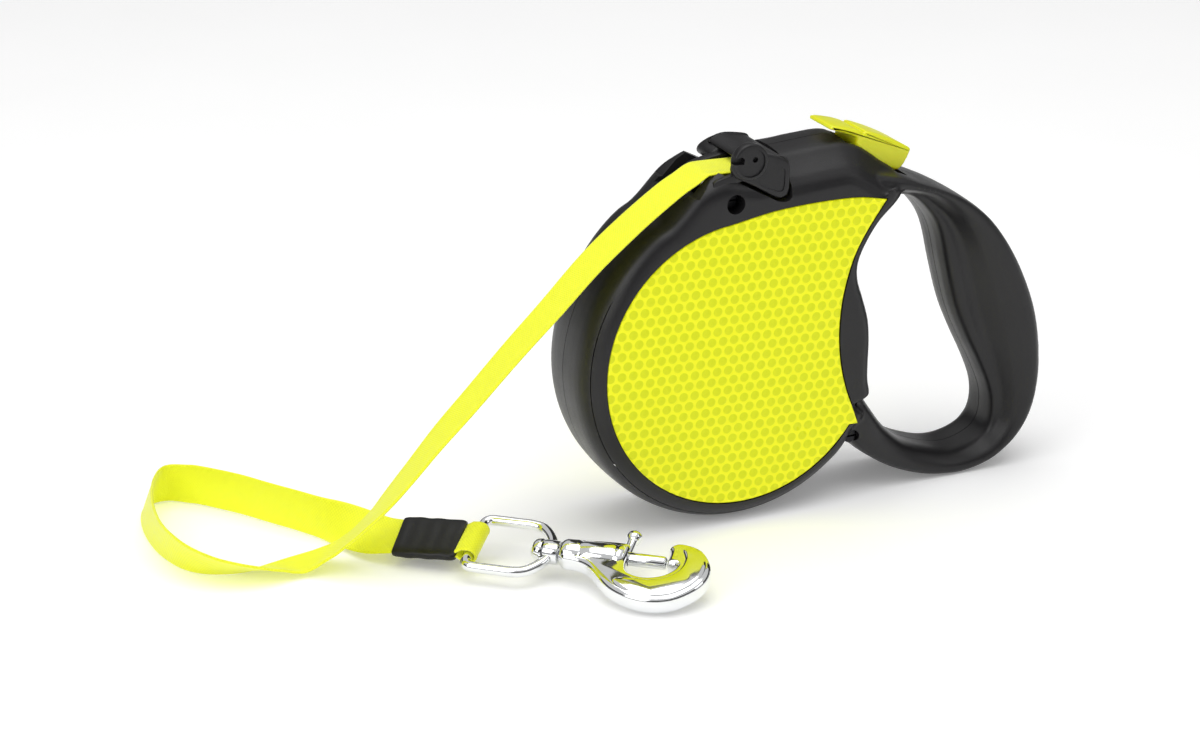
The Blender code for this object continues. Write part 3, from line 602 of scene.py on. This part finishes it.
def math_node(material, operation, first, second=0.0):
    return node(material, "ShaderNodeMath", {0: first, 1: second}, operation=operation).outputs[0]


def bumped(material, shader, height, distance, strength=1.0, normal=None):
    """Feeds a height in 0..1 to the shader's normal, as a relief this many metres deep."""
    inputs = {"Height": height, "Distance": distance, "Strength": strength}
    if normal:
        inputs["Normal"] = normal
    made = node(material, "ShaderNodeBump", inputs)
    wire(material, made.outputs["Normal"], shader.inputs["Normal"])
    return made.outputs["Normal"]


def paint(piece, material):
    piece.data.materials.clear()
    piece.data.materials.append(material)


print("material helpers ready")


# %% Moulded plastics
def moulded(name, color, edge, rough, grain, **values):
    """A moulded plastic: fine grain, uneven gloss, and a paler tone where edges rub."""
    made, shader = finish(name, **values)
    patches = noise(made, 60.0, 4.0)
    worn = node(made, "ShaderNodeNewGeometry").outputs["Pointiness"]
    edges = ramp(made, worn, 0.53, 0.62, 0.0, 1.0)
    rubbed = math_node(made, "MULTIPLY", edges, ramp(made, patches, 0.35, 0.7, 0.2, 1.0))
    wire(made, mixed(made, rubbed, color, edge), shader.inputs["Base Color"])
    fine = noise(made, 2600.0, 2.0)
    wire(made, ramp(made, math_node(made, "ADD", patches, fine), 0.7, 1.3, rough - 0.06, rough + 0.08),
         shader.inputs["Roughness"])
    bumped(made, shader, fine, grain)
    return made


housing_plastic = moulded("charcoal_moulding", (0.011, 0.0105, 0.0115), (0.03, 0.029, 0.031), 0.36, 0.00005,
                           Specular_IOR_Level=0.38)
inner_plastic = moulded("grey_moulding", (0.12, 0.12, 0.125), (0.2, 0.2, 0.2), 0.5, 0.00004)
button_plastic = moulded("signal_yellow_moulding", (0.80, 0.82, 0.008), (0.9, 0.9, 0.12), 0.38, 0.00004,
                         Subsurface_Weight=0.15, Subsurface_Scale=0.002)
paint(shell_near, housing_plastic)
paint(shell_far, housing_plastic)
print("plastics:", housing_plastic.name, inner_plastic.name, button_plastic.name)

# %% [markdown]
# The label is a reflective film: round cells in a honeycomb arrangement are embossed in it, and the web
# between them is a little brighter. A hexagonal lattice is two rectangular lattices, one shifted by half a
# cell each way, so the distance to the nearest cell is the smaller of two folded distances.

# %% Reflective film
CELL = 0.0041


def cell_distance(material, x, z, shift):
    """How far a point is from the nearest cell of one rectangular lattice, in cells."""
    squares = []
    for value, size in ((x, CELL), (z, CELL * math.sqrt(3))):
        cells = math_node(material, "ADD", math_node(material, "DIVIDE", value, size), 1000.0 + shift)
        folded = math_node(material, "SUBTRACT", math_node(material, "FRACT", cells), 0.5)
        scaled = math_node(material, "MULTIPLY", folded, size / CELL)
        squares.append(math_node(material, "MULTIPLY", scaled, scaled))
    return math_node(material, "SQRT", math_node(material, "ADD", *squares))


def reflective_film():
    # The emission is a painted glow: it makes the film brighter than the lamps light it, though the film is no
    # lamp.
    made, shader = finish("reflective_film", Roughness=0.32, Coat_Weight=0.12, Coat_Roughness=0.08,
                          Specular_IOR_Level=0.25,
                          Emission_Color=(0.84, 0.86, 0.0, 1.0), Emission_Strength=0.12)
    spot = node(made, "ShaderNodeSeparateXYZ", {"Vector": object_place(made)})
    x, z = spot.outputs["X"], spot.outputs["Z"]
    nearest = math_node(made, "MINIMUM", cell_distance(made, x, z, 0.0), cell_distance(made, x, z, 0.5))
    inside = ramp(made, nearest, 0.43, 0.34, 0.0, 1.0)
    patches = noise(made, 900.0, 3.0)
    cell_tone = mixed(made, patches, (0.63, 0.69, 0.0), (0.73, 0.77, 0.0))
    wire(made, mixed(made, inside, (0.92, 0.93, 0.01), cell_tone), shader.inputs["Base Color"])
    wire(made, ramp(made, noise(made, 40.0), 0.3, 0.7, 0.26, 0.40), shader.inputs["Roughness"])
    bumped(made, shader, inside, 0.00012, 0.6)
    return made


label_film = reflective_film()
print("film cells every", round(CELL * 1000, 2), "mm")


# %% [markdown]
# Each label is a thin sheet with its edge rolled over, so the border catches a line of light. The edge is
# drawn in over its last half millimetre.

# %% Labels
def label_skin(name, side, cad_node):
    """A label half a millimetre thick in its recess."""
    inward = drawn_in(label_outline(), 1)
    rings = []
    for inset, y in ((0.0, 18.25), (0.0, 18.62), (0.12, 18.74), (0.35, 18.8), (0.8, 18.82)):
        rings.append([place(x + way.x * inset, z + way.y * inset, side * y)
                      for (x, z), way in zip(label_outline(), inward)])
    made = shade(loft(name, rings), 40)
    paint(made, label_film)
    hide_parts(cad_node)
    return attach(made, "housing")


labels = [label_skin("label_near_skin", -1, "label_near"), label_skin("label_far_skin", 1, "label_far")]
print("labels:", [label.name for label in labels])

# %% [markdown]
# ## Woven tape finish
# The tape is a dense plain weave of bright polyester. Its UVs count metres, so one wave along U gives the
# weft ribs and one across V the warp. The denser selvedges show only in the section's thicker edges, and the
# whole takes a soft sheen.


# %% Woven tape
def woven(name, color, bright, rib):
    # The emission is a painted glow in the tape's own colour, which makes it brighter than the lamps light it.
    made, shader = finish(name, Sheen_Weight=0.35, Sheen_Roughness=0.4, Emission_Color=(*color, 1.0),
                          Emission_Strength=0.10)
    uv = node(made, "ShaderNodeUVMap", uv_map="weave").outputs["UV"]
    spot = node(made, "ShaderNodeSeparateXYZ", {"Vector": uv})
    along, across = spot.outputs["X"], spot.outputs["Y"]
    weft = math_node(made, "SINE", math_node(made, "MULTIPLY", along, 2 * math.pi / rib))
    warp = math_node(made, "SINE", math_node(made, "MULTIPLY", across, 2 * math.pi / (rib * 1.2)))
    weave = math_node(made, "MULTIPLY", weft, warp)
    height = ramp(made, weave, -1.0, 1.0, 0.0, 1.0)
    fuzz = noise(made, 500.0, 4.0)
    tone = math_node(made, "ADD", math_node(made, "MULTIPLY", height, 0.55),
                     math_node(made, "MULTIPLY", fuzz, 0.45))
    wire(made, mixed(made, tone, color, bright), shader.inputs["Base Color"])
    wire(made, ramp(made, fuzz, 0.3, 0.7, 0.5, 0.75), shader.inputs["Roughness"])
    bumped(made, shader, height, 0.00012, 0.7)
    return made


tape_weave = woven("signal_yellow_weave", (0.74, 0.79, 0.0), (0.95, 0.97, 0.03), 0.0011)
paint(free_tape, tape_weave)
print("tape finish:", tape_weave.name)


# %% Chrome, steel and black sleeve
def metal(name, color, rough, smear, depth):
    made, shader = finish(name, Metallic=1.0)
    patches = noise(made, 160.0, 4.0)
    wire(made, mixed(made, patches, color, tuple(0.93 * c for c in color)), shader.inputs["Base Color"])
    wire(made, ramp(made, patches, 0.3, 0.7, rough, rough + smear), shader.inputs["Roughness"])
    bumped(made, shader, noise(made, 700.0, 2.0), depth, 0.5)
    return made


chrome = metal("bright_chrome", (0.86, 0.87, 0.88), 0.05, 0.06, 0.000012)
steel = metal("zinc_steel", (0.62, 0.62, 0.63), 0.24, 0.14, 0.00002)


def shrink_sleeve():
    """Black shrunk tubing: a satin skin that shows the folds of the sewn tape under it."""
    made, shader = finish("shrunk_sleeve", Specular_IOR_Level=0.32)
    patches = noise(made, 120.0, 4.0)
    wire(made, mixed(made, patches, (0.004, 0.004, 0.004),
    (0.010, 0.010, 0.011)), shader.inputs["Base Color"])
    wire(made, ramp(made, patches, 0.3, 0.7, 0.30, 0.48), shader.inputs["Roughness"])
    bumped(made, shader, noise(made, 420.0, 3.0), 0.00012, 0.5)
    return made


sleeve_black = shrink_sleeve()
print("metals:", chrome.name, steel.name)

# %% [markdown]
# ## Outlet, screws and button
# The outlet guide is a moulded insert that closes the nose. A round cap with a raised rim covers the end of
# the lip bar, and a sloping wing follows the flank under it. Plates with rolled edges, joined with Booleans,
# give it the soft moulded corners that a plain slab would lack.


# %% Plates with rolled edges
def edge_levels(low, high, edge, steps=4):
    """Pairs of how far a plate's edge is drawn in, and the level, from one face to the other."""
    turns = [math.radians(90 * i / steps) for i in range(steps + 1)]
    under = [(edge * (1 - math.sin(a)), low + edge * (1 - math.cos(a))) for a in turns]
    over = [(edge * (1 - math.cos(a)), high - edge * (1 - math.sin(a))) for a in turns]
    return under + over


def rolled_plate(name, points, low, high, edge, put=place):
    """A plate whose edges are rounded on both faces. put turns (x, z, level) into a place in the frame."""
    inward = drawn_in(points, 1)
    rings = []
    for inset, level in edge_levels(low, high, edge):
        rings.append([put(x + way.x * inset, z + way.y * inset, level) for (x, z), way in zip(points, inward)])
    return loft(name, rings)


CAP, CAP_R = (1.6, 128.2), 6.3
wing_outline = smooth_ring([(-4.2, 124.0), (3.0, 119.8), (10.4, 115.2), (13.6, 114.5), (15.7, 116.2),
                            (16.1, 121.0),
                            (15.7, 126.2), (12.0, 128.8), (6.0, 130.6), (0.0, 131.0), (-4.6, 128.0)], 4)
outlet = rolled_plate("outlet_near", wing_outline, -18.2, -15.5, 0.8)
far_outline = smooth_ring([(-1.0, 122.2), (3.0, 119.9), (10.6, 115.0), (13.8, 114.6), (15.8, 116.4),
                           (15.9, 122.0),
                           (15.4, 126.0), (8.6, 127.6), (3.5, 127.0), (-0.6, 124.8)], 4)
merge(outlet, rolled_plate("far_wing", far_outline, 6.4, 18.0, 1.4),
      rolled_plate("cap", ring_points(CAP, CAP_R, 64), -18.6, -14.9, 0.9),
      rolled_plate("inner_bar", ring_points((9.0, 120.2), 2.5, 32), -16.4, 16.4, 0.3))
hood = smooth_ring([(1.4, 126.8), (3.4, 128.3), (7.0, 128.9), (12.0, 128.2), (15.4, 127.2), (15.4, 125.1),
                    (8.0, 125.9), (3.4, 126.0)], 3)
merge(outlet, rolled_plate("hood", hood, -16.3, 13.0, 0.5))
for low, high in ((-16.9, -14.9), (2.9, 6.8)):
    cheek = smooth_ring([(3.0, 125.2), (-1.0, 125.0), (-6.0, 124.0), (-11.0, 122.2), (-10.8, 118.0),
                         (-7.0, 118.6),
                         (-1.6, 121.4), (3.4, 122.2)], 3)
    merge(outlet, rolled_plate("cheek", cheek, low, high, 0.5))
# The cap's dished face, the mouth beside it and the small pin hole
carve(outlet, slab("dish", ring_points(CAP, CAP_R - 1.3, 64), -22, -18.0))
carve(outlet, slab("mouth", [(-5.6, 128.2), (-0.9, 127.7), (-0.6, 129.4), (-1.6, 130.3), (-5.2, 130.4)],
                   -22, -16.0))
carve(outlet, slab("pin_hole", ring_points((3.2, 128.9), 1.0, 24), -22, -16.6))
groove = smooth_ring([(4.2, 121.0), (10.6, 117.4), (13.6, 117.2), (14.2, 121.6), (13.6, 124.9),
                      (9.4, 125.2)], 3)
carve(outlet, slab("wing_groove", groove, -22, -17.9))
shade(outlet, 35)
paint(outlet, housing_plastic)
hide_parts("outlet_guide")
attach(outlet, "housing")
print("outlet faces:", len(outlet.data.polygons))

# %% [markdown]
# The thumb button slides down into its slot when it is pressed. A ramp leads the thumb up to a cross groove,
# and the block behind it carries the load. Its corners are well rounded, so the light runs over them.

# %% Thumb button
button_outline = smooth_line([(46.3, 122.8), (46.1, 126.0), (45.8, 128.6), (36.4, 132.1)], 3)
button_outline += smooth_line([(36.4, 132.5), (37.8, 133.2), (43.5, 131.9), (47.6, 130.4), (48.6, 129.6),
                               (49.4, 129.5), (50.6, 129.9), (58.0, 126.9), (64.5, 123.6), (67.2, 121.8),
                               (67.1, 120.6)], 4)
button_outline += smooth_line([(66.4, 119.0), (64.6, 116.2), (62.6, 114.9), (60.0, 115.4), (56.0, 117.2),
                               (50.0, 120.6)], 3)
button = rolled_plate("brake_button_skin", button_outline[::-1], -8.0, 8.0, 1.1)
merge(button, rolled_plate("stem", [(46.8, 113.95), (51.6, 113.95), (51.6, 124.0), (46.8, 124.0)],
                           -3.5, 3.5, 0.3))
shade(button, 40)
paint(button, button_plastic)
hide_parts("brake_button")
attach(button, "button")
print("button faces:", len(button.data.polygons))

# %% [markdown]
# ## Swivel, snap hook and sewn end
# The sleeve and the hook lie at an angle on the floor. Each gets its own frame of three directions: along it,
# across it and out of its flat side. Every shape below is drawn in that frame and then carried to its place.


# %% Tilted frames
def tilted(origin, toward, tilt):
    """A function that carries (along, across, out) in millimetres to a place in the frame."""
    along = Vector(toward).normalized()
    level = Vector((0, 0, 1)).cross(along).normalized()
    across = level * math.cos(math.radians(tilt)) + along.cross(level) * math.sin(math.radians(tilt))
    out = along.cross(across)
    start = place(origin[0], origin[2], origin[1])
    return lambda u, v, w: start + (along * u + across * v + out * w) * MM


on_hook = tilted((-96.3, -15.0, 9.0), (0.757, -0.653, 0.0), 15.0)
on_sleeve = tilted((-116.3, 2.6, 7.4), (16.4, -14.5, 1.6), 24.0)


def spun(name, profile, v0=0.0, steps=40):
    """A turned piece: (along, radius) points carried round the hook's long axis."""
    return loft(name, [[on_hook(u, v0 + r * math.cos(math.radians(a)), r * math.sin(math.radians(a)))
                        for a in range(0, 360, 360 // steps)] for u, r in profile])


def wire_piece(name, points, radius, out, closed=False, around=14):
    """A round wire along points in the frame. out is any direction that the wire never runs along."""
    rings = []
    for i, spot in enumerate(points):
        if closed:
            ahead = points[(i + 1) % len(points)] - points[i - 1]
        else:
            ahead = points[min(i + 1, len(points) - 1)] - points[max(i - 1, 0)]
        side = ahead.cross(out).normalized()
        top = side.cross(ahead).normalized()
        turns = [2 * math.pi * k / around for k in range(around)]
        rings.append([spot + (side * math.cos(a) + top * math.sin(a)) * (radius * MM) for a in turns])
    return loft(name, rings, closed)


def dressed(piece, angle, material, cad_node, body):
    shade(piece, angle)
    paint(piece, material)
    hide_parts(cad_node)
    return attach(piece, body)


# %% [markdown]
# The sewn end is folded over itself and covered by a length of black shrunk tubing. The tubing draws in at
# its two mouths and swells and sinks a little over the folds, so its section changes along its length.

# %% Sleeve over the stitching
SLEEVE_LONG, SLEEVE_HALF, SLEEVE_THICK = 22.0, 8.5, 1.72
SLEEVE_STEPS = 24
sleeve_rings = []
for step in range(SLEEVE_STEPS + 1):
    share = step / SLEEVE_STEPS
    u = SLEEVE_LONG * share
    mouth = min(share, 1 - share)
    half = SLEEVE_HALF - 0.5 * math.exp(-mouth * 26) - 0.12 * math.sin(share * 19.0)
    thick = SLEEVE_THICK - 0.35 * math.exp(-mouth * 22) + 0.07 * math.sin(share * 27.0)
    ring = []
    for k in range(40):
        a = 2 * math.pi * k / 40
        v = half * math.copysign(abs(math.cos(a)) ** 0.35, math.cos(a))
        w = thick * math.copysign(abs(math.sin(a)) ** 0.6, math.sin(a))
        w -= 0.22 * math.exp(-(v / 1.6) ** 2) * math.copysign(1, w) * (abs(w) > 0.4)
        ring.append(on_sleeve(u, v, w))
    sleeve_rings.append(ring)
sleeve_skin = dressed(loft("tape_sleeve_skin", sleeve_rings), 50, sleeve_black, "tape_sleeve",
                      "housing")
print("sleeve rings:", len(sleeve_rings))

# %% Sewn loop round the crossbar
fold = [(-4.4, 0.85), (-2.2, 2.4)] + arc((0, 0), 2.6, 100, -100, 16) + [(-2.2, -2.4), (-4.4, -0.85)]
stations = []
for i, (u, w) in enumerate(fold):
    before, after = fold[max(i - 1, 0)], fold[min(i + 1, len(fold) - 1)]
    run = on_hook(after[0], 0, after[1]) - on_hook(before[0], 0, before[1])
    across = (on_hook(0, 1, 0) - on_hook(0, 0, 0)).normalized()
    stations.append((on_hook(u, 0, w), across, run.normalized().cross(across)))
loop_skin = dressed(tape_piece("tape_loop_skin", stations), 60, tape_weave, "tape_loop", "housing")
print("loop stations:", len(stations))

# %% [markdown]
# The swivel eye is a bent chrome wire with a bored boss. The hook's stud turns in the boss and is held by a
# rivet head inside the eye. Turned pieces are drawn as a profile carried round the hook's long axis.

# %% Swivel eye and rivet
eye_line = smooth_ring([(0, -8.0), (0.4, -10.6), (1.8, -12.0), (5.0, -12.3), (11.0, -12.3), (17.0, -12.2),
                        (21.0, -10.9),
                        (24.6, -6.8), (26.1, -2.6), (26.1, 2.6), (24.6, 6.8), (21.0, 10.9), (17.0, 12.2),
                        (11.0, 12.3),
                        (5.0, 12.3), (1.8, 12.0), (0.4, 10.6), (0, 8.0), (0, 0)], 5)
hook_out = on_hook(0, 0, 1) - on_hook(0, 0, 0)
eye_skin = wire_piece("swivel_eye_skin", [on_hook(u, v, 0) for u, v in eye_line], 1.8, hook_out, True)
merge(eye_skin, spun("eye_boss", [(24.2, 3.4), (24.5, 3.9), (25.2, 4.05), (28.4, 4.05), (29.1, 3.9),
                                  (29.4, 3.4)]))
carve(eye_skin, spun("eye_bore", [(20.0, 2.3), (32.0, 2.3)]))
dressed(eye_skin, 40, chrome, "swivel_eye", "eye")
rivet_skin = spun("hook_rivet_skin", [(20.0, 1.6), (20.3, 2.7), (20.9, 3.4), (21.6, 3.9), (22.8, 4.1),
                                      (23.6, 4.1),
                                      (23.9, 3.9)])
carve(rivet_skin, spun("rivet_seat", [(22.1, 2.3), (26.0, 2.3)]))
dressed(rivet_skin, 40, chrome, "hook_rivet", "hook")
print("eye faces:", len(eye_skin.data.polygons), "rivet faces:", len(rivet_skin.data.polygons))

# %% [markdown]
# The hook is die cast: a round barrel for the bolt, a flat web with rolled edges, and a crescent that curls
# back to the bolt's tip. A second, slightly thicker plate with its own rolled edge raises the middle of the
# crescent.

# %% Hook body
hook_outline = [(31, 4.4), (35, 5.2), (42, 5.9), (48, 6.3), (52.0, 5.8), (52.5, 2.0), (52.7, -2.4),
                (54.2, -6.8),
                (57.8, -8.7), (62, -8.9), (66.4, -7), (69.0, -4.0), (69.3, -2.0), (67.4, -1.5),
                (66.1, -0.6), (65.9, 4.0),
                (65.0, 6.4), (66.8, 8.9), (70.4, 9.3), (76, 7.2), (80.0, 1.8), (81.4, -3.6), (80.5, -9),
                (77.5, -14.1),
                (72.4, -18.8), (66, -20.9), (59, -20.5), (52.4, -17.9), (48, -14.6), (43.6, -9.9), (40, -6.9),
                (35.4, -5.4), (31, -4.5)]
hook_ring = smooth_ring(hook_outline[::-1], 3)
hook_skin = rolled_plate("hook_body_skin", hook_ring, -3.3, 3.3, 2.0, on_hook)
ridge_ring = smooth_ring([(74.6, 7.0), (79.0, 1.4), (80.0, -3.8), (79.0, -8.9), (76.2, -13.4),
                          (71.6, -17.4), (65.8, -19.4),
                          (59.4, -19.0), (53.6, -16.8), (50.4, -13.0), (55.0, -10.6), (62.4, -10.6),
                          (68.0, -8.2),
                          (71.0, -4.0), (71.4, 1.0), (69.6, 5.6)][::-1], 3)
merge(hook_skin, rolled_plate("crescent", ridge_ring, -3.9, 3.9, 1.9, on_hook))
merge(hook_skin, spun("barrel", [(29.9, 3.6), (30.3, 4.3), (31.2, 4.9), (32.2, 5.2), (36.0, 5.25),
                                 (36.6, 4.95), (37.4, 4.95),
                                 (38.0, 5.25), (47.8, 5.25), (48.4, 4.95), (49.2, 4.95), (49.8, 5.2),
                                 (50.8, 5.0),
                                 (51.6, 4.4)]))
merge(hook_skin, spun("stud", [(22.4, 2.0), (31.0, 2.0)]))
carve(hook_skin, spun("channel", [(38.0, 2.55), (66.2, 2.55)], 1.5))
slot_corners = [(42.8, -2.1), (58, -2.1), (58, 2.1), (42.8, 2.1)]
carve(hook_skin, loft("knob_slot", [[on_hook(u, v, w) for u, w in slot_corners] for v in (1.5, 9.0)]))
dressed(hook_skin, 38, chrome, "hook_body", "hook")
print("hook faces:", len(hook_skin.data.polygons))

# %% Bolt, knob and spring
bolt_skin = spun("hook_bolt_skin", [(45.0, 2.0), (45.3, 2.25), (64.4, 2.25), (65.0, 2.0), (65.4, 1.5)], 1.5)


def knob_rings(profile):
    turns = [math.radians(a) for a in range(0, 360, 12)]
    return [[on_hook(51.4 + r * math.cos(a), v, r * math.sin(a)) for a in turns] for v, r in profile]


merge(bolt_skin, loft("knob", knob_rings([(1.5, 1.7), (9.6, 1.7), (10.4, 2.0), (10.9, 2.5), (11.6, 2.7),
                                          (12.6, 2.7),
                                          (13.4, 2.3), (13.9, 1.4)])))
dressed(bolt_skin, 40, chrome, "hook_bolt", "bolt")
coil_line = []
for i in range(121):
    a = 2 * math.pi * i / 30
    coil_line.append(on_hook(38.6 + 5.8 * i / 120, 1.5 + 1.7 * math.cos(a), 1.7 * math.sin(a)))
coil_skin = wire_piece("bolt_spring_skin", coil_line, 0.3, on_hook(1, 0, 0) - on_hook(0, 0, 0), False, 8)
dressed(coil_skin, 60, steel, "bolt_spring", "hook")
print("bolt faces:", len(bolt_skin.data.polygons))

# %% [markdown]
# The free tape follows the route above and ends in the sleeve.

# %% [markdown]
# ## Carried-over pieces
# The mechanism inside the housing stays as the frame gives it, since its shapes are already exact. Every
# piece of it still gets its finish, because it shows when the part is opened or posed.

# %% Finishes for the frame's own pieces
CARRIED = {
    "steel": ["guide_roller", "roller_pin", "spool_axle", "mainspring", "brake_pin", "brake_spring"],
    "blackened": ["screw_hub", "screw_nose", "screw_rear"],
    "mechanism": ["spool_drum", "spring_cover", "brake_lever"],
    "tape": ["tape_roll", "tape_lead"],
}
wound_tape, wound_shader = finish("wound_tape", Sheen_Weight=0.3, Roughness=0.6)
layers = node(wound_tape, "ShaderNodeTexWave",
              {"Vector": object_place(wound_tape), "Scale": 160.0, "Distortion": 1.5},
              wave_type="RINGS", rings_direction="Y").outputs["Fac"]
layer_tone = mixed(wound_tape, layers, (0.62, 0.66, 0.0), (0.9, 0.92, 0.02))
wire(wound_tape, layer_tone, wound_shader.inputs["Base Color"])
bumped(wound_tape, wound_shader, layers, 0.0002, 0.6)
blackened = metal("blackened_steel", (0.03, 0.03, 0.032), 0.3, 0.15, 0.00002)
CARRIED_FINISH = {"steel": steel, "blackened": blackened, "mechanism": inner_plastic, "tape": wound_tape}
for slot_name, names in CARRIED.items():
    for name in names:
        paint(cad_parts[name], CARRIED_FINISH[slot_name])
print("carried over:", sum(len(names) for names in CARRIED.values()), "pieces")

# %% [markdown]
# ## Studio
# A pale floor with a faint glow of its own, which keeps it near white, and three large soft lights: a broad
# one overhead, one from the left and a weak one from the right. A dark band across the sky gives the chrome
# contrast.

# %% Floor
floor_finish, floor_shader = finish("pale_paper", Roughness=0.75, Emission_Color=(1.0, 1.0, 1.0, 1.0),
                                      Emission_Strength=0.17)
wire(floor_finish, mixed(floor_finish, noise(floor_finish, 12.0), (0.94, 0.94, 0.94), (0.97, 0.97, 0.97)),
     floor_shader.inputs["Base Color"])
bumped(floor_finish, floor_shader, noise(floor_finish, 900.0), 0.00002, 0.3)
work = bmesh.new()
bmesh.ops.create_grid(work, x_segments=8, y_segments=8, size=4.0)
floor = mesh_piece("floor", work)
paint(floor, floor_finish)
print("floor", [round(v, 2) for v in floor.dimensions])


# %% Lights
def soft_light(name, spot, aim, width, height, power):
    light = bpy.data.lights.new(name, "AREA")
    light.shape = "RECTANGLE"
    light.size, light.size_y, light.energy = width, height, power
    lamp = bpy.data.objects.new(name, light)
    bpy.context.scene.collection.objects.link(lamp)
    lamp.location = spot
    lamp.rotation_euler = (Vector(aim) - Vector(spot)).to_track_quat("-Z", "Y").to_euler()
    return lamp


lamps = [soft_light("overhead", (-0.1, -0.1, 1.3), (0, 0, 0.05), 1.3, 1.3, 9.0),
         soft_light("left_side", (-1.2, -0.5, 0.7), (0, 0, 0.07), 0.8, 0.8, 5.0),
         soft_light("right_side", (1.1, -0.9, 0.8), (0, 0, 0.07), 0.6, 0.6, 1.5)]
sky = bpy.data.worlds.new("studio")
sky.use_nodes = True
bpy.context.scene.world = sky
direction = node(sky, "ShaderNodeTexCoord").outputs["Generated"]
rise = node(sky, "ShaderNodeSeparateXYZ", {"Vector": direction}).outputs["Z"]
tone = node(sky, "ShaderNodeValToRGB", {"Fac": rise})
tone.color_ramp.elements[0].position = 0.0
tone.color_ramp.elements[0].color = (0.35, 0.35, 0.36, 1)
tone.color_ramp.elements[1].position = 0.62
tone.color_ramp.elements[1].color = (1.0, 1.0, 1.0, 1)
for position, grey in ((0.14, 0.9), (0.22, 0.03), (0.44, 0.02), (0.54, 1.0)):
    tone.color_ramp.elements.new(position).color = (grey, grey, grey, 1)
background = sky.node_tree.nodes["Background"]
wire(sky, tone.outputs["Color"], background.inputs["Color"])
background.inputs["Strength"].default_value = 0.62
bpy.context.scene.view_settings.view_transform = "Standard"
print("lights:", [lamp.name for lamp in lamps])
